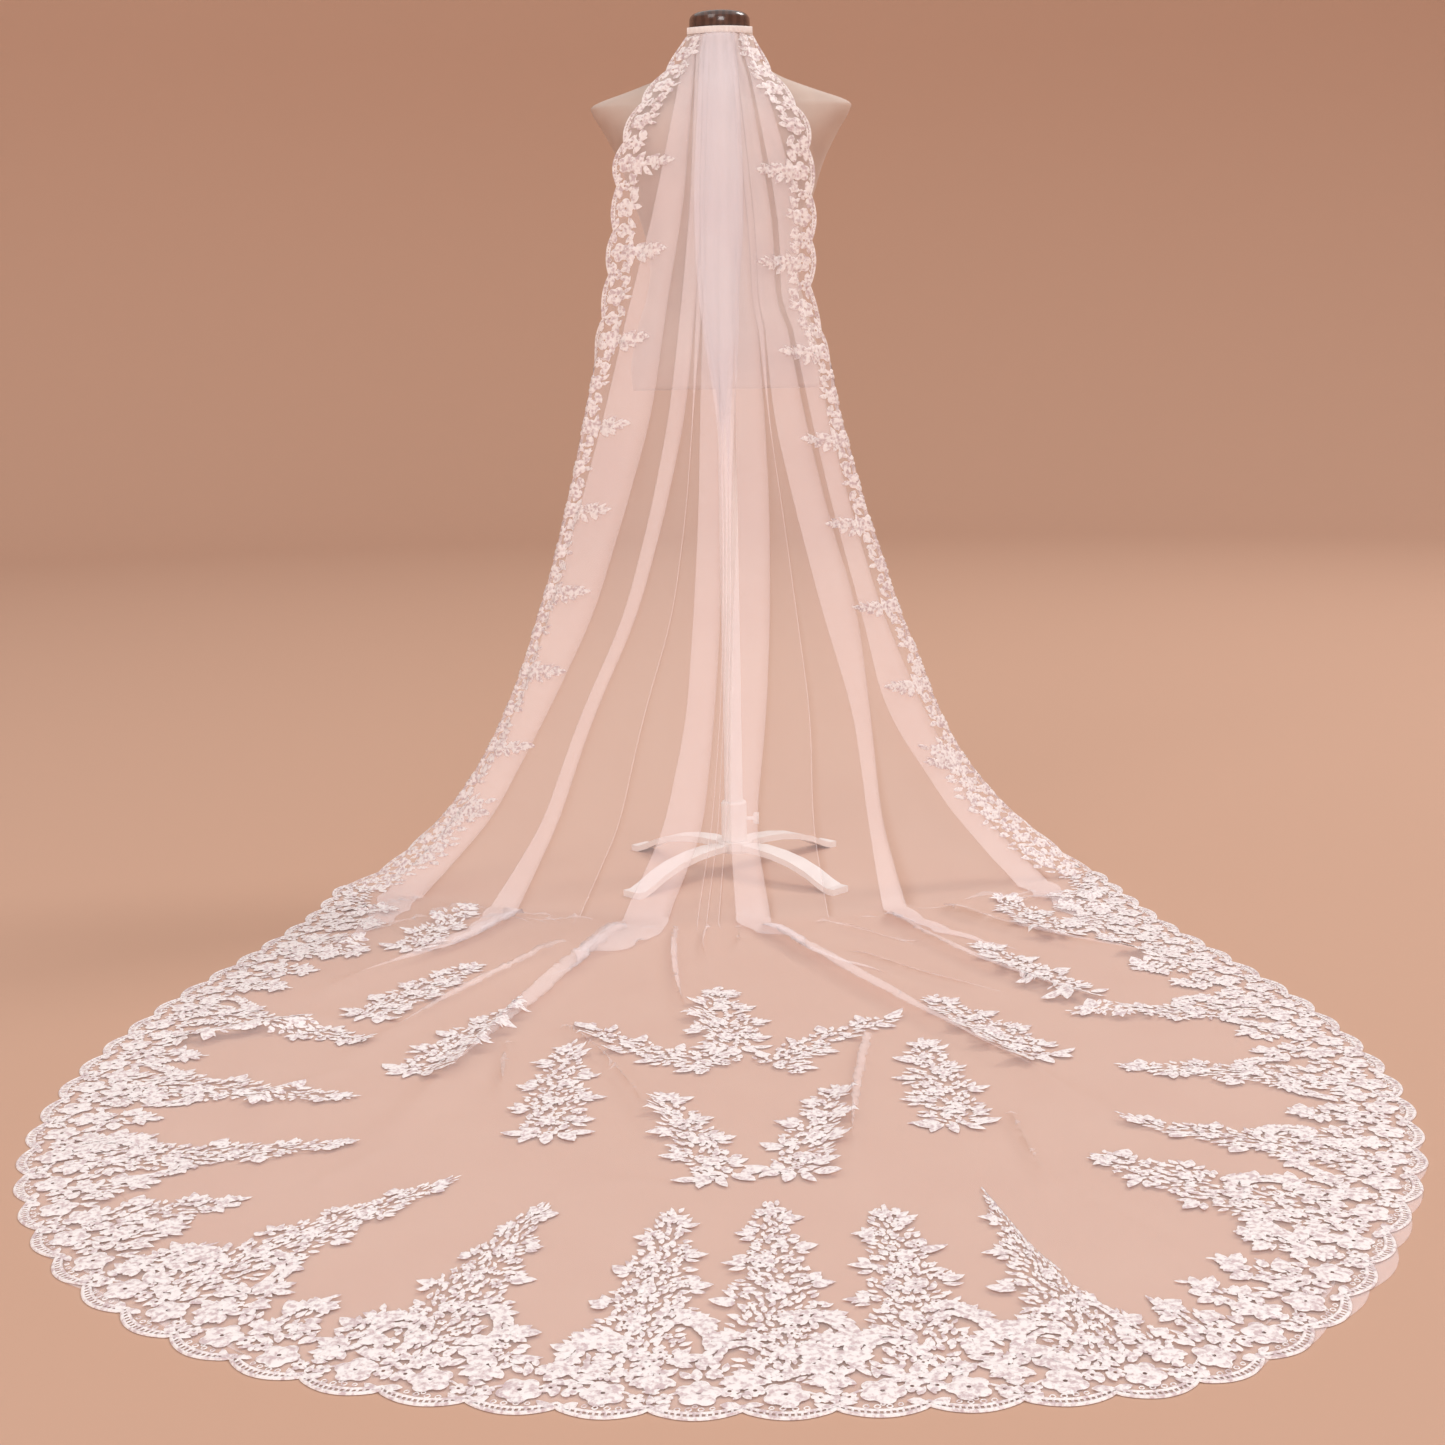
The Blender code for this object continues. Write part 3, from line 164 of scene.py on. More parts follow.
# Creases of the train: from, through, to, height, half width and overlap of the fold.
CREASES = (
    # from           through         to              height half   fold
    ((-0.16, -0.32), (-0.27, -0.66), (-0.41, -1.24), 0.014, 0.042, 0.030),
    ((-0.33, -0.25), (-0.38, -0.44), (-0.60, -0.68), 0.013, 0.042, 0.028),
    ((-0.24, -0.41), (-0.37, -0.62), (-0.50, -0.97), 0.008, 0.030, 0.014),
    ((-0.09, -0.34), (-0.10, -0.62), (-0.05, -0.88), 0.008, 0.026, 0.012),
    ((-0.23, -0.79), (-0.14, -0.93), (-0.08, -1.22), 0.008, 0.026, 0.008),
    ((0.03, -0.34), (0.17, -0.68), (0.45, -1.25), 0.016, 0.042, 0.030),
    ((0.22, -0.29), (0.31, -0.62), (0.55, -0.86), 0.012, 0.036, 0.024),
    ((0.31, -0.26), (0.41, -0.46), (0.62, -0.59), 0.014, 0.042, 0.032),
    ((0.16, -0.84), (0.12, -1.05), (0.10, -1.34), 0.009, 0.030, 0.014),
    ((-0.40, -0.20), (-0.52, -0.34), (-0.60, -0.44), 0.010, 0.034, 0.016),
    ((-0.70, -0.84), (-0.60, -0.77), (-0.50, -0.74), 0.009, 0.032, 0.0),
    ((0.15, -0.49), (0.28, -0.67), (0.38, -0.74), 0.007, 0.022, 0.008),
    ((0.29, -1.11), (0.29, -1.22), (0.305, -1.35), 0.006, 0.018, 0.004),
    ((-0.285, -0.85), (-0.285, -0.97), (-0.27, -1.07), 0.006, 0.018, 0.005),
    ((-0.06, -0.68), (-0.05, -0.81), (-0.03, -0.90), 0.004, 0.014, 0.0),
    ((-0.15, -1.29), (-0.11, -1.26), (-0.06, -1.31), 0.004, 0.013, 0.0),
    ((0.33, -1.35), (0.38, -1.43), (0.42, -1.55), 0.004, 0.016, 0.0),
    ((-0.57, -1.05), (-0.50, -0.96), (-0.45, -0.92), 0.005, 0.016, 0.0),
    ((-0.44, -1.28), (-0.40, -1.21), (-0.35, -1.14), 0.004, 0.015, 0.0),
    ((0.36, -0.20), (0.46, -0.25), (0.60, -0.30), 0.008, 0.028, 0.014),
    ((-0.22, -0.29), (-0.31, -0.32), (-0.43, -0.36), 0.006, 0.016, 0.005),
    ((-0.27, -0.27), (-0.37, -0.29), (-0.48, -0.30), 0.005, 0.013, 0.003),
    ((-0.12, -0.35), (-0.15, -0.42), (-0.15, -0.52), 0.006, 0.015, 0.005),
    ((-0.04, -0.35), (-0.06, -0.44), (-0.04, -0.56), 0.005, 0.013, 0.004),
    ((0.00, -0.35), (0.01, -0.42), (-0.01, -0.50), 0.004, 0.012, 0.003),
    ((0.11, -0.33), (0.19, -0.40), (0.28, -0.53), 0.006, 0.016, 0.006),
    ((0.17, -0.31), (0.23, -0.36), (0.33, -0.42), 0.005, 0.013, 0.003),
    ((0.42, -0.19), (0.50, -0.21), (0.61, -0.22), 0.005, 0.014, 0.004),
    ((-0.50, -0.16), (-0.56, -0.21), (-0.62, -0.25), 0.005, 0.014, 0.004),
)

# Lace sprays that grow inward from the hem border: middle along the hem as a share of its
# length, height above the edge, half width at the foot, lean of the tip along the hem.
SPRAYS = (
    # along  height  half    lean
    (0.075, 0.170, 0.050, 0.030),
    (0.148, 0.330, 0.045, 0.110),
    (0.211, 0.345, 0.048, 0.100),
    (0.270, 0.345, 0.050, 0.090),
    (0.314, 0.200, 0.040, 0.030),
    (0.362, 0.385, 0.060, -0.005),
    (0.432, 0.380, 0.060, -0.010),
    (0.478, 0.375, 0.058, 0.005),
    (0.508, 0.395, 0.055, -0.005),
    (0.537, 0.380, 0.055, 0.010),
    (0.570, 0.400, 0.058, 0.010),
    (0.672, 0.315, 0.060, 0.050),
    (0.710, 0.310, 0.048, 0.060),
    (0.768, 0.305, 0.050, 0.065),
    (0.830, 0.310, 0.045, 0.055),
    (0.885, 0.150, 0.040, -0.020),
    (0.935, 0.150, 0.045, -0.020),
)

# Motifs that lie free on the train: middle, length, half width, turn of the tip from +Y
# (degrees, clockwise seen from above) and form.
MOTIFS = (
    # x       y       length half   turn  form
    (-0.022, -0.772, 0.240, 0.058, -5, "tree"),
    (-0.125, -0.881, 0.235, 0.036, -46, "arm"),
    (0.105, -0.855, 0.235, 0.036, 43, "arm"),
    (-0.060, -1.155, 0.250, 0.042, -16, "tree"),
    (0.075, -1.145, 0.250, 0.042, 14, "tree"),
    (-0.340, -0.835, 0.245, 0.050, 23, "tree"),
    (-0.213, -1.010, 0.290, 0.052, 0, "tree"),
    (0.223, -1.010, 0.270, 0.052, -2, "tree"),
    (0.302, -0.822, 0.260, 0.050, -25, "tree"),
    (0.392, -0.590, 0.265, 0.048, -22, "tree"),
    (-0.426, -0.628, 0.250, 0.048, 27, "tree"),
)
# Two more motifs, at the ends of the hem, in the same columns.
END_MOTIFS = (
    (-0.445, -0.330, 0.220, 0.045, 17, "tree"),
    (0.440, -0.325, 0.220, 0.045, -17, "tree"),
)

# Sections of the dress form: height, half width, half depth, middle of the depth, squareness
TORSO = (
    (0.790, 0.148, 0.100, 0.000, 2.2),
    (0.830, 0.150, 0.104, 0.000, 2.2),
    (0.880, 0.140, 0.100, 0.000, 2.2),
    (0.940, 0.122, 0.090, 0.002, 2.2),
    (0.985, 0.116, 0.086, 0.004, 2.2),
    (1.040, 0.126, 0.096, 0.008, 2.2),
    (1.095, 0.145, 0.110, 0.010, 2.3),
    (1.140, 0.160, 0.112, 0.006, 2.4),
    (1.180, 0.180, 0.100, -0.004, 2.5),
    (1.212, 0.199, 0.078, -0.012, 2.4),
    (1.226, 0.196, 0.066, -0.014, 2.2),
    (1.246, 0.140, 0.058, -0.014, 2.1),
    (1.266, 0.090, 0.054, -0.012, 2.0),
    (1.290, 0.060, 0.051, -0.010, 2.0),
    (1.333, 0.050, 0.047, -0.009, 2.0),
)


def smooth(t):
    t = np.clip(t, 0.0, 1.0)
    return t * t * (3.0 - 2.0 * t)


def lerp(a, b, t):
    return a + (b - a) * t


def smooth_line(points, per_span):
    pts = [np.array(p, float) for p in points]
    pts = [2 * pts[0] - pts[1]] + pts + [2 * pts[-1] - pts[-2]]
    out = []
    for i in range(1, len(pts) - 2):
        p0, p1, p2, p3 = pts[i - 1:i + 3]
        for k in range(per_span):
            t = k / per_span
            out.append(0.5 * (2 * p1 + (p2 - p0) * t + (2 * p0 - 5 * p1 + 4 * p2 - p3) * t * t
                              + (3 * p1 - p0 - 3 * p2 + p3) * t ** 3))
    out.append(pts[-2])
    return np.array(out)


def relax(values, half):
    """Running mean over a window of rows."""
    padded = np.concatenate((np.full(half, values[0]), values, np.full(half, values[-1])))
    return np.convolve(padded, np.ones(2 * half + 1) / (2 * half + 1), "valid")


class Hem:
    """The hem line, read by length, with its direction into the train."""

    def __init__(self):
        self.points = smooth_line(HEM, 12)
        steps = np.linalg.norm(np.diff(self.points, axis=0), axis=1)
        self.at = np.concatenate(([0.0], np.cumsum(steps)))
        self.length = float(self.at[-1])

    def point(self, s):
        s = np.asarray(s, float)
        return np.stack((np.interp(s, self.at, self.points[:, 0]),
                         np.interp(s, self.at, self.points[:, 1])), axis=-1)

    def inward(self, s):
        s = np.asarray(s, float)
        t = self.point(np.minimum(s + 0.03, self.length)) - self.point(np.maximum(s - 0.03, 0.0))
        t = t / np.linalg.norm(t, axis=-1, keepdims=True)
        square = np.stack((-t[..., 1], t[..., 0]), axis=-1)
        near = np.minimum(s, self.length - s)
        share = (1.0 - smooth(near / END_FAN))[..., None]
        foot = np.where((s < self.length / 2)[..., None], foot_direction(-1), foot_direction(1))
        mixed = lerp(square, foot, share)
        return mixed / np.linalg.norm(mixed, axis=-1, keepdims=True)

    def at_depth(self, s, d):
        return self.point(s) + np.asarray(d)[..., None] * self.inward(s)


def foot_direction(side):
    edge = FALL[-1][3] if side < 0 else FALL[-1][4]
    slope = FOOT_POWER * (FALL[-1][2] - FALL[-1][1]) / edge
    way = np.array((-side, -side * slope))
    return way / np.linalg.norm(way)


hem = Hem()
SCALLOPS = int(round(hem.length / PITCH))
HEM_PITCH = hem.length / SCALLOPS


def scallop(s, pitch, depth):
    """Depth of the scalloped edge: round lobes with sharp notches between them."""
    phase = np.mod(np.asarray(s) / pitch, 1.0)
    return depth * (1.0 - np.sin(np.pi * phase) ** 0.8)


ROWS = smooth_line(FALL, 6)
KEY = -ROWS[:, 0]


def fall_value(z, column):
    return np.interp(-np.asarray(z, float), KEY, ROWS[:, column])


def fall_depth(x, z):
    mid = fall_value(z, 1)
    side = fall_value(z, 2)
    edge = np.where(np.asarray(x) < 0, fall_value(z, 3), fall_value(z, 4))
    q = np.minimum(np.abs(x / edge), 1.15)
    return mid + (side - mid) * q ** FOOT_POWER


def turned(z):
    return TURN * np.minimum(smooth((0.94 - z) / 0.16), smooth((z - 0.02) / 0.12))


def narrowed(z):
    return lerp(0.25, 1.0, smooth((FALL[0][0] - z) / 0.08))


def hinge(z, side):
    edge = fall_value(z, 3 if side < 0 else 4)
    return edge - side * SIDE_HINGE * narrowed(z) * (1.0 - np.sin(turned(z)))


def side_frame(z, d, side):
    """Point and outward direction of a side border at heights z and depths d from its edge."""
    z = np.asarray(z, float)
    d = np.asarray(d, float)
    h = hinge(z, side)
    flat_x = h - side * np.maximum(d - SIDE_HINGE, 0.0)
    flat = np.stack((flat_x, fall_depth(flat_x, z), z), axis=-1)
    base = np.stack((h, fall_depth(h, z), z), axis=-1)
    near = np.stack((h - side * 0.01, fall_depth(h - side * 0.01, z), z), axis=-1)
    outward = base - near
    outward = outward / np.linalg.norm(outward, axis=-1, keepdims=True)
    back = np.array((0.0, 1.0, 0.0)) - outward * outward[..., 1:2]
    back = back / np.linalg.norm(back, axis=-1, keepdims=True)
    angle = turned(z)[..., None]
    reach = (np.maximum(SIDE_HINGE - d, 0.0) * narrowed(z))[..., None]
    lip = base + reach * (np.cos(angle) * outward + np.sin(angle) * back)
    under = (d < SIDE_HINGE)[..., None]
    point = np.where(under, lip, flat)
    normal = np.where(under, np.sin(angle) * outward - np.cos(angle) * back, -back)
    return point, normal


def edge_lengths(side):
    """Heights and lengths along a side edge, from the header down."""
    z = np.linspace(1.320, 0.0, 481)
    p = np.stack((fall_value(z, 3 if side < 0 else 4), fall_value(z, 2), z), axis=-1)
    steps = np.linalg.norm(np.diff(p, axis=0), axis=1)
    return z, np.concatenate(([0.0], np.cumsum(steps)))


EDGES = {side: edge_lengths(side) for side in (-1, 1)}
SIDE_COUNT = {side: int(round(EDGES[side][1][-1] / SIDE_PITCH)) for side in (-1, 1)}
SIDE_STEP = {side: EDGES[side][1][-1] / SIDE_COUNT[side] for side in (-1, 1)}


def edge_scallop(z, side):
    heights, lengths = EDGES[side]
    s = np.interp(-z, -heights, lengths)
    return scallop(s, SIDE_STEP[side], SIDE_DEPTH)


def fold_tables():
    """Smoothed left line, right line and height of each fold at each row of the fall."""
    z = ROWS[:, 0]
    key = [-h for h in FOLD_HEIGHTS]
    out = []
    for name, rows in FOLDS.items():
        lines = [np.interp(-z, key, [r[c] for r in rows]) for c in range(3)]
        layer = CORE_LAYER if name.startswith("core") else LAYER
        out.append([relax(line, 4) for line in lines] + [layer])
    return out


def net_columns():
    """Places across the fall at every row: x and how far out of the middle surface."""
    z = ROWS[:, 0]
    inner_left = hinge(z, -1) + 0.005
    inner_right = hinge(z, 1) - 0.005
    folds = fold_tables()
    lowest = np.min([f[0] for f in folds], axis=0)
    highest = np.max([f[1] for f in folds], axis=0)
    shrink_left = np.minimum(1.0, (inner_left + 0.004) / lowest)
    shrink_right = np.minimum(1.0, (inner_right - 0.004) / highest)
    marks = []
    last = inner_left
    last_out = np.zeros(len(z))
    for a, b, height, layer in folds:
        a = a * np.where(a < 0, shrink_left, shrink_right)
        b = b * np.where(b < 0, shrink_left, shrink_right)
        for k in range(GAP):
            t = k / GAP
            down = np.maximum(0.0, 1.0 - t * 1.6) ** 2
            dip = -0.0035 * np.sin(np.pi * t) * np.minimum((a - last) / 0.05, 1.0)
            marks.append((lerp(last, a, t), last_out * down + dip))
        wide = b - a
        for k in range(layer):
            t = k / (layer - 1)
            marks.append((a + wide * t, height * 0.25 * smooth(t)))
        marks.append((b + np.minimum(0.0016, wide * 0.1), height * 0.38))
        for k in range(layer):
            t = k / (layer - 1)
            marks.append((b - wide * t, height * lerp(0.50, 0.60, t)))
        marks.append((a - np.minimum(0.0016, wide * 0.1), height * 0.74))
        for k in range(layer):
            t = k / (layer - 1)
            marks.append((a + wide * t, height * (0.90 + 0.18 * np.sin(np.pi * t))))
        last = b
        last_out = height * 0.90
    for k in range(GAP + 1):
        t = k / GAP
        down = np.maximum(0.0, 1.0 - t * 1.6) ** 2
        marks.append((lerp(last, inner_right, t), last_out * down))
    xs = np.array([m[0] for m in marks]).T
    outs = np.array([m[1] for m in marks]).T
    return xs, outs


def fine_gathers(x, z):
    """Small ripples that run down from the header and die out."""
    edge = np.where(x < 0, -fall_value(z, 3), fall_value(z, 4))
    q = x / edge
    size = 0.0020 * smooth((z - 0.25) / 0.7) + 0.0006
    return size * (np.sin(31.0 * q + 0.8) + 0.7 * np.sin(57.0 * q + 2.1 + 1.5 * z))


def net_fall():
    xs, outs = net_columns()
    z = np.repeat(ROWS[:, 0:1], xs.shape[1], axis=1)
    flat = smooth(z / 0.06)
    y = fall_depth(xs, z)
    out = outs + fine_gathers(xs, z)
    level = np.maximum(out, 0.0) * (1 - flat)
    middle = np.stack((xs, y - out * flat, z + level + NET_Z), axis=-1)
    left = []
    right = []
    heights = ROWS[:, 0]
    for k in range(LIP):
        for side, line in ((-1, left), (1, right)):
            edge = edge_scallop(heights, side) + NET_INSET
            point = side_frame(heights, lerp(edge, NET_EDGE, k / LIP), side)[0]
            point[:, 2] += NET_Z
            line.append(point)
    left = np.stack(left, axis=1)
    right = np.stack(right[::-1], axis=1)
    return np.concatenate((left, middle, right), axis=1)


def crease_lift(x, y):
    """Height of the train's soft folds over the floor."""
    total = np.zeros(x.shape)
    for start, mid, end, height, half, _fold in CREASES:
        away, along = near_crease(x, y, start, mid, end)[:2]
        fade = smooth(along / 0.10) * smooth((1 - along) / 0.25)
        total = np.maximum(total, height * fade * np.maximum(0.0, 1 - (away / half) ** 2) ** 2)
    return total


def near_crease(x, y, start, mid, end):
    """Distance from a crease with its sign, share along it and its direction across."""
    t = np.linspace(0, 1, 41)
    px = (1 - t) ** 2 * start[0] + 2 * t * (1 - t) * mid[0] + t * t * end[0]
    py = (1 - t) ** 2 * start[1] + 2 * t * (1 - t) * mid[1] + t * t * end[1]
    best = np.full(x.shape, 1e9)
    along = np.zeros(x.shape)
    sign = np.zeros(x.shape)
    across = np.zeros(x.shape + (2,))
    for k in range(40):
        dx, dy = px[k + 1] - px[k], py[k + 1] - py[k]
        size = math.hypot(dx, dy)
        f = np.clip(((x - px[k]) * dx + (y - py[k]) * dy) / size ** 2, 0, 1)
        qx = x - (px[k] + f * dx)
        qy = y - (py[k] + f * dy)
        d = np.hypot(qx, qy)
        closer = d < best
        best = np.where(closer, d, best)
        along = np.where(closer, (k + f) / 40, along)
        sign = np.where(closer, np.sign(qx * -dy + qy * dx), sign)
        across[closer] = (-dy / size, dx / size)
    return best, along, sign, across


def fold_over(points):
    """Folds the train's sheet over itself along the creases that have an overlap."""
    points = points.copy()
    for start, mid, end, _height, _half, fold in CREASES:
        if fold <= 0:
            continue
        x, y = points[..., 0], points[..., 1]
        away, along, sign, across = near_crease(x, y, start, mid, end)
        inside = (along > 0.001) & (along < 0.999)
        s = away * sign
        reach = fold * 1.4
        third = reach / 3
        fade = smooth(along / 0.06) * smooth((1 - along) / 0.60) * inside
        full = np.interp(s, (-reach, -third, third, reach), (-reach, fold / 2, -fold / 2, reach))
        level = np.interp(s, (-reach, -third, third, reach), (0.0, 0.05, 1.0, 0.0))
        shift = np.where(np.abs(s) < reach, (full - s) * fade, 0.0)
        points[..., 0] += across[..., 0] * shift
        points[..., 1] += across[..., 1] * shift
        points[..., 2] += level * FOLD_RISE * fade * (np.abs(s) < reach)
    return points


def train_point(u, v, x_first, x_last):
    corner_left = CORNER_LEFT * hem.length
    corner_right = CORNER_RIGHT * hem.length

    def edge(s):
        return hem.at_depth(s, scallop(s, HEM_PITCH, DEPTH) + 0.0015)

    def foot(x):
        return np.stack((x, fall_depth(x, np.zeros(np.shape(x)))), axis=-1)

    first = foot(np.array(x_first))
    last = foot(np.array(x_last))
    ease = ((1 - v) ** 4)[..., None]
    left = edge(lerp(0.0, corner_left, v)) + (first - edge(np.array(0.0))) * ease
    right = edge(lerp(hem.length, corner_right, v)) + (last - edge(np.array(hem.length))) * ease
    bottom = edge(lerp(corner_left, corner_right, u))
    top = foot(lerp(x_first, x_last, u))
    end_left = edge(np.array(corner_left))
    end_right = edge(np.array(corner_right))
    u = u[..., None]
    v = v[..., None]
    both = (first * (1 - u) * (1 - v) + last * u * (1 - v) + end_left * (1 - u) * v
            + end_right * u * v)
    return lerp(top, bottom, v) + lerp(left, right, u) - both


def net_train(last_row):
    """Rows of the train, each column going on from the foot of the fall."""
    xs = last_row[:, 0]
    levels = last_row[:, 2] - NET_Z
    count = len(xs)
    start = (xs - xs[0]) / (xs[-1] - xs[0])
    even_u = np.linspace(0, 1, count)
    rows = []
    for j in range(1, TRAIN_ROWS + 1):
        v = (j / TRAIN_ROWS) ** 1.06
        even = float(smooth(v / 0.30))
        u = lerp(start, even_u, even)
        flat = train_point(u, np.full(count, v), xs[0], xs[-1])
        x, y = flat[:, 0], flat[:, 1]
        wave = 0.0006 * (1 + np.sin(23 * x + 11 * y)) + 0.0005 * (1 + np.sin(37 * y - 19 * x))
        inner = smooth(np.minimum(np.minimum(u, 1 - u) / 0.08, (1 - v) / 0.10))
        lift = crease_lift(x, y) + wave * inner * float(smooth(v / 0.08))
        z = np.maximum(levels * (1 - even), lift) + NET_Z
        rows.append(np.stack((x, y, z), axis=-1))
    return fold_over(np.array(rows))


def grid_quads(rows, cols):
    index = np.arange(rows * cols).reshape(rows, cols)
    quads = np.stack((index[:-1, :-1], index[:-1, 1:], index[1:, 1:], index[1:, :-1]), axis=-1)
    return quads.reshape(-1, 4).tolist()


def ring_quads(rings, count):
    """Faces of a tube: rings of count points each."""
    faces = []
    for j in range(0, (rings - 1) * count, count):
        for k in range(count):
            m = (k + 1) % count
            faces.append((j + k, j + m, j + count + m, j + count + k))
    return faces


def strip_quads(rows, cols):
    """Faces of a band, the other way round from grid_quads."""
    starts = [cols * j + k for j in range(rows - 1) for k in range(cols - 1)]
    return [(a, a + cols, a + cols + 1, a + 1) for a in starts]


def grid_mesh(name, grid, mat):
    return piece(name, grid.reshape(-1, 3), grid_quads(*grid.shape[:2]), mat)


def add_object(name, data):
    made = bpy.data.objects.new(name, data)
    bpy.context.scene.collection.objects.link(made)
    return made


def smooth_mesh(name, points, faces, mat):
    mesh = bpy.data.meshes.new(name)
    mesh.from_pydata(np.asarray(points).tolist(), [], faces)
    mesh.update()
    mesh.materials.append(mat)
    mesh.polygons.foreach_set("use_smooth", [True] * len(mesh.polygons))
    return add_object(name, mesh)


def piece(name, points, faces, mat):
    made = smooth_mesh(name, points, faces, mat)
    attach(made, "root")
    return made


class Nodes:
    """Short hand for building one node material."""

    def __init__(self, name, **values):
        self.mat = bpy.data.materials.new(name)
        self.mat.use_nodes = True
        self.tree = self.mat.node_tree
        self.shader = self.tree.nodes["Principled BSDF"]
        self.coords = self.tree.nodes.new("ShaderNodeTexCoord")
        self.set(self.shader, values)

    def set(self, node, values):
        """Constants on a node's sockets, named with _ for each space."""
        for key, value in values.items():
            node.inputs[key.replace("_", " ")].default_value = value

    def add(self, kind, **values):
        node = self.tree.nodes.new(kind)
        self.set(node, values)
        return node

    def link(self, a, output, b, socket):
        self.tree.links.new(a.outputs[output], b.inputs[socket])

    def noise(self, scale, detail=3.0):
        node = self.add("ShaderNodeTexNoise", Scale=scale, Detail=detail)
        self.link(self.coords, "Object", node, "Vector")
        return node

    def cells(self, scale):
        node = self.add("ShaderNodeTexVoronoi", Scale=scale)
        node.feature = "DISTANCE_TO_EDGE"
        self.link(self.coords, "Object", node, "Vector")
        return node

    def colours(self, source, low, high, start=0.3, end=0.7):
        """Base colour from low to high with the source's pattern."""
        node = self.tree.nodes.new("ShaderNodeValToRGB")
        for element, position, colour in zip(node.color_ramp.elements, (start, end), (low, high)):
            element.position = position
            element.color = (*colour, 1)
        self.link(source, "Fac", node, "Fac")
        self.link(node, "Color", self.shader, "Base Color")

    def bump(self, source, output, strength, distance):
        node = self.add("ShaderNodeBump", Strength=strength, Distance=distance)
        self.link(source, output, node, "Height")
        self.link(node, "Normal", self.shader, "Normal")


def net_material():
    """Sheer net. Its faint emission is a painted glow that stands in for the light the net scatters
    through its layers, and keeps its dense gathers as light as single layers.
    """
    m = Nodes("net_tulle", Alpha=0.22, Emission_Color=(1.0, 0.87, 0.90, 1.0), Emission_Strength=0.19,
              Roughness=0.8, Sheen_Weight=0.25, Specular_IOR_Level=0.2)
    m.colours(m.noise(9.0), (0.93, 0.83, 0.84), (0.98, 0.90, 0.90))
    m.bump(m.cells(650.0), "Distance", 0.25, 0.0004)
    return m.mat


def lace_material():
    m = Nodes("lace_thread", Roughness=0.62, Sheen_Weight=0.2, Specular_IOR_Level=0.35)
    m.colours(m.noise(190.0), (0.66, 0.54, 0.56), (0.97, 0.94, 0.94), 0.36, 0.54)
    m.bump(m.noise(900.0, 2.0), "Fac", 0.5, 0.0005)
    return m.mat


def satin_material():
    m = Nodes("header_satin", Roughness=0.38, Sheen_Weight=0.3)
    m.colours(m.noise(60.0), (0.88, 0.83, 0.81), (0.95, 0.92, 0.90))
    m.bump(m.noise(700.0, 2.0), "Fac", 0.3, 0.0003)
    return m.mat


def form_material():
    m = Nodes("form_jersey", Roughness=0.85, Sheen_Weight=0.15)
    m.colours(m.noise(14.0, 4.0), (0.56, 0.44, 0.38), (0.64, 0.52, 0.45))
    m.bump(m.noise(1100.0, 2.0), "Fac", 0.35, 0.0004)
    return m.mat


def cap_material():
    m = Nodes("neck_cap_polish", Roughness=0.22, Coat_Weight=0.6, Coat_Roughness=0.08)
    wave = m.add("ShaderNodeTexWave", Scale=30.0, Distortion=5.0, Detail=3.0)
    m.link(m.coords, "Object", wave, "Vector")
    m.colours(wave, (0.066, 0.034, 0.027), (0.105, 0.055, 0.043), 0.2, 0.8)
    return m.mat


def paint_material():
    m = Nodes("stand_enamel", Roughness=0.35)
    m.colours(m.noise(25.0), (0.90, 0.88, 0.87), (0.95, 0.94, 0.93))
    m.bump(m.noise(240.0, 2.0), "Fac", 0.08, 0.0005)
    return m.mat


rng = np.random.RandomState(20)


def flower_shape(petals, per_petal, hole, cleft, rings):
    """Round flower of radius 1 with an open eye. Heights are shares of its rise."""
    count = petals * per_petal
    a = 2 * np.pi * np.arange(count) / count
    lobe = np.abs(np.cos(petals * a / 2))
    edge = (1 - cleft) + cleft * lobe ** 0.6
    points = []
    for share, height in rings:
        r = lerp(hole, 1.0, share) * lerp(1.0, edge, share)
        h = height * lerp(1.0, 0.25 + 0.75 * lobe, min(1.0, share * 1.4))
        points.append(np.stack((r * np.cos(a), r * np.sin(a), h), axis=-1))
    return np.concatenate(points), np.array(ring_quads(len(rings), count))


def leaf_shape(plump, bend=0.0):
    """Pointed leaf along +X from 0 to 1, with a raised rib."""
    stops = (0.0, 0.22, 0.52, 0.80, 1.0)
    wide = (0.14, 0.86, 1.0, 0.60, 0.02)
    points = []
    for t, w in zip(stops, wide):
        y = bend * math.sin(math.pi * t)
        points += [(t, y - plump * w / 2, 0.2), (t, y, 1.0 if 0 < t < 1 else 0.5),
                   (t, y + plump * w / 2, 0.2)]
    return np.array(points), np.array(strip_quads(len(stops), 3))


BIG = flower_shape(5, 7, 0.10, 0.36, ((0.0, 0.5), (0.22, 0.8), (0.62, 1.0), (1.0, 0.15)))
SIX = flower_shape(6, 6, 0.12, 0.30, ((0.0, 0.5), (0.30, 0.9), (0.68, 1.0), (1.0, 0.15)))
BUD = flower_shape(5, 4, 0.20, 0.34, ((0.0, 0.6), (0.55, 1.0), (1.0, 0.15)))
EYE = flower_shape(1, 9, 0.55, 0.0, ((0.0, 0.3), (0.5, 1.0), (1.0, 0.2)))
LEAVES = (leaf_shape(0.50), leaf_shape(0.60, 0.08), leaf_shape(0.40, -0.10))


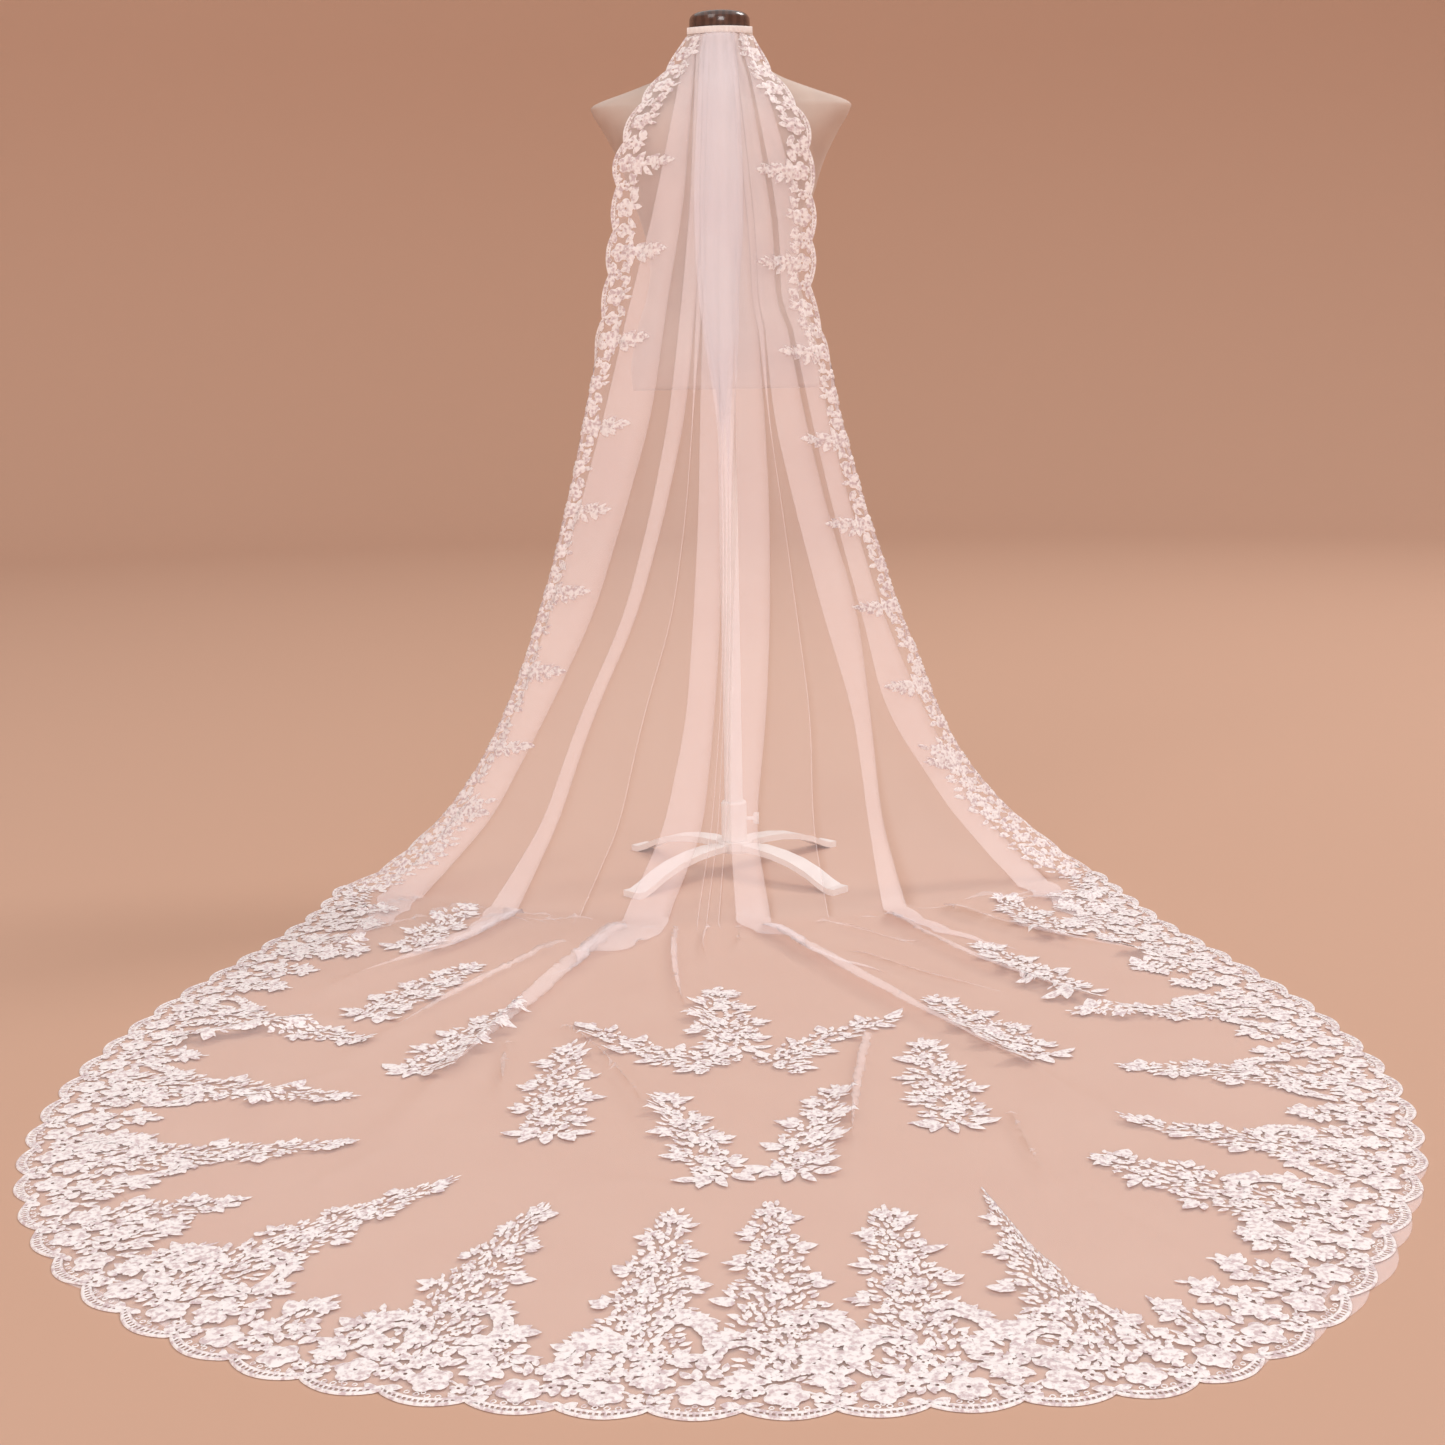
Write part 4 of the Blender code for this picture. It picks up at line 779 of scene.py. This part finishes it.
class Pattern:
    """Collects lace shapes in pattern coordinates."""

    def __init__(self):
        self.points, self.faces, self.count = [], [], 0

    def add(self, points, faces):
        self.points.append(points)
        for f in faces:
            self.faces.append(tuple(int(i) + self.count for i in f))
        self.count += len(points)

    def put(self, shape, x, y, size, turn, rise=0.0010):
        points, faces = shape
        c, s = math.cos(turn), math.sin(turn)
        px = x + size * (points[:, 0] * c - points[:, 1] * s)
        py = y + size * (points[:, 0] * s + points[:, 1] * c)
        lift = rng.uniform(0.0, 0.0007)
        self.add(np.stack((px, py, points[:, 2] * rise + lift), axis=-1), faces)

    def leaf(self, x, y, size, turn):
        self.put(LEAVES[rng.randint(3)], x, y, size, turn, 0.0009)

    def leaves(self, mid, flip, rows, vary=False):
        """Leaves of one repeat of a border, mirrored where flip is -1."""
        for x, d, size, turn in rows:
            angle = math.radians(turn + rng.uniform(-12, 12))
            if vary:
                size *= rng.uniform(0.85, 1.05)
            self.leaf(mid + flip * x, d, size, angle if flip > 0 else math.pi - angle)

    def cord(self, line, half, rise=0.0012):
        """Half round cord along a line of (along, depth) points."""
        line = np.asarray(line, float)
        way = np.gradient(line, axis=0)
        way = way / np.maximum(np.linalg.norm(way, axis=1, keepdims=True), 1e-9)
        side = np.stack((-way[:, 1], way[:, 0]), axis=-1)
        n = len(line)
        points = []
        for shift, height in ((-1.0, 0.0), (-0.5, 0.8), (0.5, 0.8), (1.0, 0.0)):
            flat = line + side * half * shift
            points.append(np.column_stack((flat, np.full(n, height * rise))))
        self.add(np.stack(points, axis=1).reshape(-1, 3), strip_quads(n, 4))

    def seated(self, seat):
        """The shapes set on the cloth by seat(along, depth, height)."""
        points = np.concatenate(self.points)
        return seat(points[:, 0], points[:, 1], points[:, 2]), self.faces


def edge_trim(p, count, pitch, depth, inset, step):
    """Double corded scalloped edge, with bars between the two cords one step apart."""
    bars = int(round(pitch / step))
    for k in range(count):
        s = np.linspace(k * pitch, (k + 1) * pitch, 17)
        edge = scallop(s, pitch, depth)
        edge[0] = depth
        edge[-1] = depth
        p.cord(np.column_stack((s, edge + 0.0018)), 0.0017, 0.0015)
        p.cord(np.column_stack((s, edge * 0.85 + inset)), 0.0015, 0.0012)
        for b in range(bars):
            at = (k + (b + 0.5) / bars) * pitch
            top = float(scallop(at, pitch, depth))
            p.cord(((at, top + 0.002), (at, top * 0.85 + inset)), 0.0011, 0.0008)


def hem_cell(p, k):
    """One repeat of the hem border: big flower, leaves, small blossoms and eyelets."""
    flip = 1 if k % 2 == 0 else -1
    mid = k * HEM_PITCH + HEM_PITCH / 2
    for x, d, r in ((-0.014, 0.0150, 0.0030), (-0.005, 0.0142, 0.0032), (0.005, 0.0150, 0.0030),
                    (0.014, 0.0165, 0.0027), (0.000, 0.0185, 0.0024)):
        p.put(EYE, mid + flip * x, d, r, 0.0)
    big_turn = rng.uniform(0, 1.2)
    p.put(BIG, mid + flip * 0.002, 0.0370 + rng.uniform(-0.002, 0.002), 0.0200, big_turn, 0.0016)
    for shape, x, d, size, rise in (
            (BUD, -0.026, 0.0300, 0.0085, 0.0010), (BUD, 0.027, 0.0420, 0.0090, 0.0010),
            (SIX, -0.034, 0.0560, 0.0125, 0.0013), (BUD, 0.014, 0.0690, 0.0085, 0.0010)):
        p.put(shape, mid + flip * x, d, size, rng.uniform(0, 1), rise)
    p.leaves(mid, flip, (
        (-0.020, 0.022, 0.020, 200), (0.020, 0.022, 0.020, -20), (-0.018, 0.050, 0.022, 140),
        (0.018, 0.052, 0.024, 40), (0.000, 0.058, 0.022, 96), (-0.030, 0.040, 0.016, 170),
        (0.034, 0.050, 0.018, 10), (-0.004, 0.062, 0.018, 130), (0.008, 0.062, 0.018, 62),
        (-0.034, 0.068, 0.018, 100), (-0.026, 0.066, 0.016, 50), (-0.042, 0.064, 0.016, 140),
        (0.022, 0.072, 0.016, 80), (0.006, 0.074, 0.016, 120), (0.030, 0.064, 0.016, 30),
        (0.030, 0.030, 0.014, 60), (-0.036, 0.022, 0.014, 100)), vary=True)
    stem = [(mid + flip * (-0.034 + 0.068 * t), 0.026 + 0.030 * t + 0.006 * math.sin(6.3 * t))
            for t in np.linspace(0, 1, 9)]
    p.cord(stem, 0.0011)


def spray_reach(y, side, length, half, lobes):
    """Half width of a spray on one side: side lobes that take turns left and right."""
    t = min(max(y / length, 0.0), 1.0)
    saw = (t * lobes + (0.5 if side > 0 else 0.0)) % 1.0
    if t < 0.35:
        whole = 0.66 + 0.34 * math.sin(math.pi * t / 0.70)
    else:
        whole = 0.26 + 0.74 * ((1.0 - t) / 0.65) ** 0.75
    return half * whole * (1.0 - 0.50 * saw) + 0.001


def tufts(p, place, length, reach, fan, buds, leaf, spread, jitter):
    """Fills a spray with leaves and some buds. reach(y) gives its half widths left and right."""
    for j in range(int(length / TUFT) + 1):
        y = j * TUFT
        left, right = reach(y)
        columns = max(1, int(round((left + right) / TUFT)))
        for i in range(columns):
            x = lerp(-left, right, (i + 0.5) / columns) + rng.uniform(-0.0020, 0.0020)
            px, py, turn = place(x, y + rng.uniform(-jitter, jitter))
            lean = math.pi / 2 - fan * x / max(left, right, 0.01)
            if rng.uniform() < buds:
                p.put(BUD, px, py, rng.uniform(0.0052, 0.0070), rng.uniform(0, 2))
            else:
                size = rng.uniform(leaf, leaf + 0.0045)
                p.leaf(px, py, size, turn + lean + rng.uniform(-spread, spread))


def fir(p, place, length, half, lobes=None, feet=False):
    """Spray of leaves and blossoms, foot at 0 and tip at length.

    place(x, y) gives pattern coordinates and the turn of the spray there."""
    lobes = lobes or max(3, int(round(length / 0.066)))

    def reach(y):
        return [spray_reach(y, side, length, half, lobes) for side in (-1, 1)]
    tufts(p, place, length, reach, 1.2, 0.16, 0.0105, 0.9, 0.0022)
    for k in range(lobes + 1):
        for side in (-1, 1):
            y = length * (k - (0.5 if side > 0 else 0.0)) / lobes + 0.001
            if y < 0 or y > 0.97 * length:
                continue
            width = spray_reach(y, side, length, half, lobes)
            for size, tip, drop in ((0.026, 0.22, 0.002), (0.018, 0.80, 0.006), (0.017, -0.25, -0.003)):
                px, py, turn = place(side * (width - 0.012), y + drop)
                angle = tip if side > 0 else math.pi - tip
                p.leaf(px, py, size * rng.uniform(0.9, 1.15), turn + angle + rng.uniform(-0.2, 0.2))
    for k in range(1, int(length / 0.058)):
        px, py, _ = place(rng.uniform(-0.2, 0.2) * half, k * 0.058 - 0.012)
        p.put(SIX, px, py, rng.uniform(0.0105, 0.0130), rng.uniform(0, 1), 0.0016)
    px, py, turn = place(0.0, length - 0.016)
    p.put(SIX, px, py, 0.0095, 0.3, 0.0014)
    for angle in (0.35, 1.57, 2.8):
        p.leaf(px, py, 0.021, turn + angle)
    if feet:
        for x, angle in ((-0.012, -2.2), (0.012, -0.9), (0.0, -1.6), (-0.022, 3.0), (0.022, 0.1)):
            px, py, turn = place(x, 0.006)
            p.leaf(px, py, 0.030, turn + angle)


def sprig_shape(p, place):
    """Small sprig: a blossom, a bent stem of leaves and a pointed tip."""
    p.put(SIX, *place(0.001, 0.006)[:2], 0.0110, 0.4, 0.0015)
    p.put(BUD, *place(-0.004, 0.023)[:2], 0.0080, 0.1)
    p.put(BUD, *place(0.004, 0.035)[:2], 0.0066, 0.7)
    for y, lean, size in ((0.002, 1.25, 0.021), (0.004, -1.25, 0.020), (0.012, 0.75, 0.021),
                          (0.015, -0.85, 0.020), (0.022, 0.3, 0.017), (0.024, 0.9, 0.018),
                          (0.027, -0.8, 0.018), (0.032, -0.2, 0.015), (0.035, 0.6, 0.016),
                          (0.037, -0.5, 0.016), (0.043, 0.05, 0.017)):
        px, py, turn = place(0.003 * math.sin(y * 120), y)
        p.leaf(px, py, size * rng.uniform(0.9, 1.1), turn + math.pi / 2 + lean * rng.uniform(0.8, 1.1))


def swag(p, place, line, half):
    """Curved row of leaves through three points of a spray's own plane."""
    start, through, end = (np.array(q, float) for q in line)
    count = int((np.linalg.norm(through - start) + np.linalg.norm(end - through)) / 0.0075)
    for k in range(count + 1):
        t = k / count
        q = (1 - t) ** 2 * start + 2 * t * (1 - t) * through + t * t * end
        way = 2 * (1 - t) * (through - start) + 2 * t * (end - through)
        angle = math.atan2(way[1], way[0])
        for side in (-1, 1):
            off = side * half * (1 - 0.7 * t) * rng.uniform(0.3, 1.0)
            px, py, turn = place(q[0] - off * math.sin(angle), q[1] + off * math.cos(angle))
            p.leaf(px, py, rng.uniform(0.014, 0.018), turn + angle + side * 0.45)


def garland(p, place, length, half):
    """Bent row of leaves and blossoms, thick at its foot and pointed at its tip."""
    def reach(y):
        t = y / length
        return [half * (1 - 0.75 * t) * (1.0 - 0.40 * ((t * 4.0) % 1.0))] * 2
    tufts(p, place, length, reach, 0.9, 0.18, 0.0110, 0.8, 0.0020)
    for k in range(4):
        for side in (-1, 1):
            y = length * (k + 0.25) / 4
            width = half * (1 - 0.75 * y / length)
            px, py, turn = place(side * width * 0.7, y)
            tip = 0.5 if side > 0 else math.pi - 0.5
            p.leaf(px, py, 0.027, turn + tip)
    px, py, turn = place(0.0, length - 0.018)
    p.leaf(px, py, 0.034, turn + math.pi / 2)


def side_cell(p, k, pitch, sprig, wide):
    """One repeat of the side border, with a sprig at every other one. Near the hem it widens."""
    mid = (k + 0.5) * pitch
    flip = 1 if k % 2 == 0 else -1
    p.put(BIG, mid, 0.0235, 0.0150, rng.uniform(0, 1.2), 0.0015)
    p.put(BUD, mid - pitch / 2, 0.0210, 0.0085, rng.uniform(0, 1))
    for x, d, r in ((-0.011, 0.0088, 0.0024), (0.0, 0.0084, 0.0026), (0.011, 0.0088, 0.0024)):
        p.put(EYE, mid + x, d, r, 0.0)
    p.leaves(mid, flip, (
        (-0.014, 0.014, 0.019, 190), (0.014, 0.014, 0.019, -10), (-0.014, 0.030, 0.021, 150),
        (0.014, 0.030, 0.021, 30), (0.0, 0.034, 0.015, 90), (-0.028, 0.026, 0.017, 80),
        (0.026, 0.022, 0.016, 60), (-0.006, 0.032, 0.016, 125), (-0.022, 0.018, 0.014, 250),
        (0.030, 0.030, 0.014, 110), (0.022, 0.026, 0.015, -50), (-0.024, 0.034, 0.013, 20)))
    if wide:
        p.put(BIG, mid + 0.018 * flip, 0.0560, 0.0165, rng.uniform(0, 1.2), 0.0015)
        p.put(SIX, mid - 0.020 * flip, 0.0500, 0.0120, rng.uniform(0, 1), 0.0013)
        p.leaves(mid, flip, (
            (0.000, 0.042, 0.018, 120), (-0.004, 0.052, 0.018, 60), (-0.030, 0.060, 0.018, 100),
            (0.030, 0.044, 0.016, 20), (-0.012, 0.062, 0.018, 80), (0.008, 0.070, 0.018, 110),
            (0.026, 0.070, 0.018, 60), (-0.026, 0.042, 0.016, 160)))
    if sprig:
        def place(x, y):
            return mid + x, 0.034 + y, 0.0
        sprig_shape(p, place)


def tree_of_grid(grid):
    points = [Vector(p) for p in grid.reshape(-1, 3).tolist()]
    return BVHTree.FromPolygons(points, grid_quads(*grid.shape[:2]))


def tops(tree, x, y):
    """Height of the net under each point of the floor."""
    out = np.zeros(len(x))
    down = Vector((0, 0, -1))
    for n in range(len(x)):
        hit = tree.ray_cast(Vector((x[n], y[n], 0.20)), down)
        if hit[0] is not None:
            out[n] = hit[0].z
    return out


def on_floor(tree, flat, height):
    return np.column_stack((flat, tops(tree, flat[:, 0], flat[:, 1]) + LIFT + height))


def on_side(tree, side):
    """Seat for side border shapes: on the net where there is net, else on the turned lip."""
    heights, lengths = EDGES[side]

    def seat(s, d, height):
        z = np.interp(s, lengths, heights)
        point, normal = side_frame(z, d, side)
        out = point + normal * (height + LIFT)[:, None]
        for n in np.nonzero(d >= SIDE_HINGE - 0.001)[0]:
            tip = math.radians(80) * float(smooth((0.09 - z[n]) / 0.09))
            way = Vector((0.0, -math.cos(tip), math.sin(tip)))
            start = Vector(point[n]) + way * 0.08
            hit = tree.ray_cast(start, -way)
            if hit[0] is not None and hit[3] < 0.12:
                out[n] = np.array(hit[0] + way * (LIFT + height[n]))
        out[:, 2] = np.maximum(out[:, 2], NET_Z + height)
        return out
    return seat


def on_hem(tree):
    """Seat for shapes given by length along the hem and depth from its edge."""
    def seat(s, d, height):
        return on_floor(tree, hem.at_depth(np.clip(s, 0, hem.length), d), height)
    return seat


def hem_lace(tree):
    """Scalloped border of the train."""
    p = Pattern()
    edge_trim(p, SCALLOPS, HEM_PITCH, DEPTH, inset=0.0098, step=0.0050)
    for k in range(SCALLOPS):
        hem_cell(p, k)
    return p.seated(on_hem(tree))


def spray_lace(tree):
    """Sprays that grow inward from the hem border, and small sprigs between them."""
    p = Pattern()
    for along, height, half, lean in SPRAYS:
        foot = along * hem.length
        length = height - SPRAY_FOOT

        def place(x, y, foot=foot, lean=lean, height=height, length=length):
            t = y / length
            return foot + lean * t + x, SPRAY_FOOT + y, -math.atan2(lean, height)
        fir(p, place, length, half)
        if height > 0.25:
            swag(p, place, ((0.008, 0.105), (0.055, 0.125), (0.066, 0.068)), 0.006)
            swag(p, place, ((-0.008, 0.060), (-0.048, 0.085), (-0.062, 0.036)), 0.006)
    feet = [row[0] * hem.length for row in SPRAYS]
    for k in range(2, SCALLOPS - 1):
        s = (k + 0.05) * HEM_PITCH
        if min(abs(s - foot) for foot in feet) > 0.040:
            def sprig_place(x, y, s=s):
                return s + x, 0.066 + y, 0.0
            fir(p, sprig_place, 0.068, 0.024, 2)
    return p.seated(on_hem(tree))


def motif_lace(tree):
    """Motifs that lie free on the train, drawn straight in floor coordinates."""
    p = Pattern()
    for x, y, length, half, turn, form in MOTIFS + END_MOTIFS:
        angle = math.radians(-turn)

        def place(px, py, x=x, y=y, length=length, angle=angle, form=form):
            if form == "arm":
                px = px + 0.35 * length * (py / length - 0.5) ** 2
            py = py - length / 2
            return (x + px * math.cos(angle) - py * math.sin(angle),
                    y + px * math.sin(angle) + py * math.cos(angle), angle)
        if form == "tree":
            fir(p, place, length, half * 0.80, feet=True)
        else:
            garland(p, place, length, half)

    def seat(x, y, height):
        return on_floor(tree, np.column_stack((x, y)), height)
    return p.seated(seat)


def side_lace(tree, side):
    """Narrow border of one side edge, with sprigs at every other repeat."""
    p = Pattern()
    pitch = SIDE_STEP[side]
    heights, lengths = EDGES[side]
    edge_trim(p, SIDE_COUNT[side], pitch, SIDE_DEPTH, inset=0.0062, step=0.0048)
    for k in range(SIDE_COUNT[side]):
        z = float(np.interp((k + 0.5) * pitch, lengths, heights))
        sprig = k % 2 == 1 and SPRIG_LOW < z < SPRIG_HIGH
        side_cell(p, k, pitch, sprig, z < WIDE_BELOW[side])
    return p.seated(on_side(tree, side))


def build_lace(net_grid, mat):
    """All the lace, in this order, so that the random draws stay the same."""
    tree = tree_of_grid(net_grid)
    made = [
        ("hem_lace", hem_lace(tree), ["border_hem_%02d" % n for n in range(1, 11)]),
        ("spray_lace", spray_lace(tree), []),
        ("motif_lace", motif_lace(tree), ["motif_%02d" % n for n in range(1, 12)]),
        ("side_lace_left", side_lace(tree, -1), ["border_left_%d" % n for n in range(1, 5)]),
        ("side_lace_right", side_lace(tree, 1), ["border_right_%d" % n for n in range(1, 5)]),
    ]
    objects = []
    for name, (points, faces), nodes in made:
        obj = piece(name, points + VEIL, faces, mat)
        if nodes:
            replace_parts(obj, *nodes)
        objects.append(obj)
    return objects


def lathe(profile, count, centre):
    points = []
    rings = []
    for r, z in profile:
        if r < 1e-6:
            rings.append([len(points)])
            points.append((centre[0], centre[1], z))
            continue
        rings.append(list(range(len(points), len(points) + count)))
        for k in range(count):
            a = 2 * math.pi * k / count
            points.append((centre[0] + r * math.cos(a), centre[1] + r * math.sin(a), z))
    faces = []
    for low, high in zip(rings, rings[1:]):
        for k in range(count):
            m = (k + 1) % count
            if len(low) == 1:
                faces.append((low[0], high[m], high[k]))
            elif len(high) == 1:
                faces.append((low[k], low[m], high[0]))
            else:
                faces.append((low[k], low[m], high[m], high[k]))
    return np.array(points), faces


def torso(mat):
    rows = smooth_line(TORSO, 5)
    count = 112
    points = []
    for z, wide, deep, middle, power in rows:
        a = 2 * np.pi * np.arange(count) / count
        c, s = np.cos(a), np.sin(a)
        x = wide * np.sign(c) * np.abs(c) ** (2 / power)
        y = middle + deep * np.sign(s) * np.abs(s) ** (2 / power)
        points.append(np.column_stack((x, y, np.full(count, z))))
    grid = np.concatenate(points)
    faces = ring_quads(len(rows), count)
    faces.append(tuple(reversed(range(count))))
    faces.append(tuple((len(rows) - 1) * count + k for k in range(count)))
    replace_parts(piece("form_body", grid + POLE, faces, mat), "torso")


def neck_cap(mat):
    low, high = 1.3333, 1.359
    profile = [(0.0, low), (0.0455, low), (0.0468, low + 0.0012), (0.0470, low + 0.012)]
    for k in range(1, 9):
        a = math.pi / 2 * k / 8
        profile.append((0.0365 + 0.0105 * math.cos(a), low + 0.0150 + 0.0107 * math.sin(a)))
    profile += [(0.020, high), (0.0, high)]
    points, faces = lathe(profile, 96, (0.0, -0.009))
    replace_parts(piece("cap_turned", points + POLE, faces, mat), "neck_cap")


def header(mat):
    """Folded band with soft puckers, curved round the back of the neck."""
    count = 61
    x = np.linspace(-0.050, 0.050, count)
    y = fall_depth(x, np.full(count, 1.322))
    around = 14
    ring = []
    for k in range(around):
        a = 2 * math.pi * k / around
        ring.append((0.0017 * math.copysign(abs(math.cos(a)) ** 0.6, math.cos(a)),
                     0.0050 * math.copysign(abs(math.sin(a)) ** 0.35, math.sin(a))))
    grid = []
    for px, py in zip(x, y):
        pucker = 0.0003 * math.sin(px * 900)
        grid.append([(px, py - 0.0003 + dy + pucker, 1.3287 + dz) for dy, dz in ring])
    points = np.array(grid).reshape(-1, 3)
    faces = ring_quads(count, around)
    faces.append(tuple(range(around)))
    faces.append(tuple(reversed(range((count - 1) * around, count * around))))
    made = piece("header_ribbon", points + VEIL, faces, mat)
    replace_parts(made, "header_band")
    return made


def stage():
    """Pale warm studio bowl: a flat floor that sweeps up all round, far behind every camera."""
    profile = [(0.0, 0.0), (3.0, 0.0), (8.0, 0.0)]
    for k in range(1, 13):
        a = math.pi / 2 * k / 12
        profile.append((8.0 + 3.0 * math.sin(a), 3.0 - 3.0 * math.cos(a)))
    profile.append((11.0, 8.0))
    points, faces = lathe(profile, 96, (0.0, 0.0))
    m = Nodes("studio_paper", Roughness=0.9, Specular_IOR_Level=0.1,
              Base_Color=(0.62, 0.40, 0.295, 1.0))
    smooth_mesh("studio_floor", points, faces, m.mat)


def area_light(name, place, aim, size, power, colour):
    light = bpy.data.lights.new(name, "AREA")
    light.shape = "SQUARE"
    light.size = size
    light.energy = power
    light.color = colour
    obj = add_object(name, light)
    obj.location = place
    obj.rotation_euler = (Vector(aim) - Vector(place)).to_track_quat("-Z", "Y").to_euler()
    obj.visible_camera = False


def lights():
    world = bpy.data.worlds.new("studio_air")
    bpy.context.scene.world = world
    world.use_nodes = True
    world.node_tree.nodes["Background"].inputs["Color"].default_value = (1.0, 0.985, 0.975, 1.0)
    world.node_tree.nodes["Background"].inputs["Strength"].default_value = 0.84
    # name, place, aim, size, power, colour
    area_light("key", (5.0, 2.8, 6.4), (0.0, 0.0, 0.2), 2.4, 210, (1.0, 0.98, 0.97))
    area_light("fill", (-4.6, -6.6, 5.8), (0.0, 0.1, 0.5), 4.0, 130, (1.0, 0.975, 0.965))
    area_light("front", (1.0, -8.2, 2.6), (0.0, 0.3, 1.0), 3.0, 190, (1.0, 0.97, 0.98))
    bpy.context.scene.view_settings.view_transform = "Standard"


def camera():
    data = bpy.data.cameras.new("photo_view")
    data.lens = 47.73
    data.sensor_width = 36.0
    data.dof.use_dof = False
    pitch = math.radians(90 - 9.87)
    roll = math.radians(-1.1)
    matrix = Matrix.Rotation(pitch, 4, "X") @ Matrix.Rotation(roll, 4, "Z")
    matrix.translation = Vector((POLE[0] - 0.016, POLE[1] - 3.104, 0.79))
    obj = add_object("photo_view", data)
    obj.matrix_world = matrix
    bpy.context.scene.camera = obj


def dress_cad(name, mat, bevel):
    """Own material and softened corners on a CAD node that stays."""
    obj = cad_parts[name]
    for slot in obj.material_slots:
        slot.material = mat
    if bevel:
        mod = obj.modifiers.new("soft_corners", "BEVEL")
        mod.width = bevel
        mod.segments = 2
        mod.limit_method = "ANGLE"
        mod.angle_limit = math.radians(40)


camera()
stage()
lights()
net_mat = net_material()
lace_mat = lace_material()
paint_mat = paint_material()
fall = net_fall()
net_grid = np.concatenate((fall, net_train(fall[-1])), axis=0)
net = grid_mesh("net_sheet", net_grid + VEIL, net_mat)
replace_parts(net, "net_fall", "net_train")
lace = build_lace(net_grid, lace_mat)
ribbon = header(satin_material())
torso(form_material())
neck_cap(cap_material())
for node in ("pole", "pole_collar", "thumb_screw", "base_hub"):
    dress_cad(node, paint_mat, 0.0004)
for n in range(1, 5):
    dress_cad("base_leg_%d" % n, paint_mat, 0.0012)
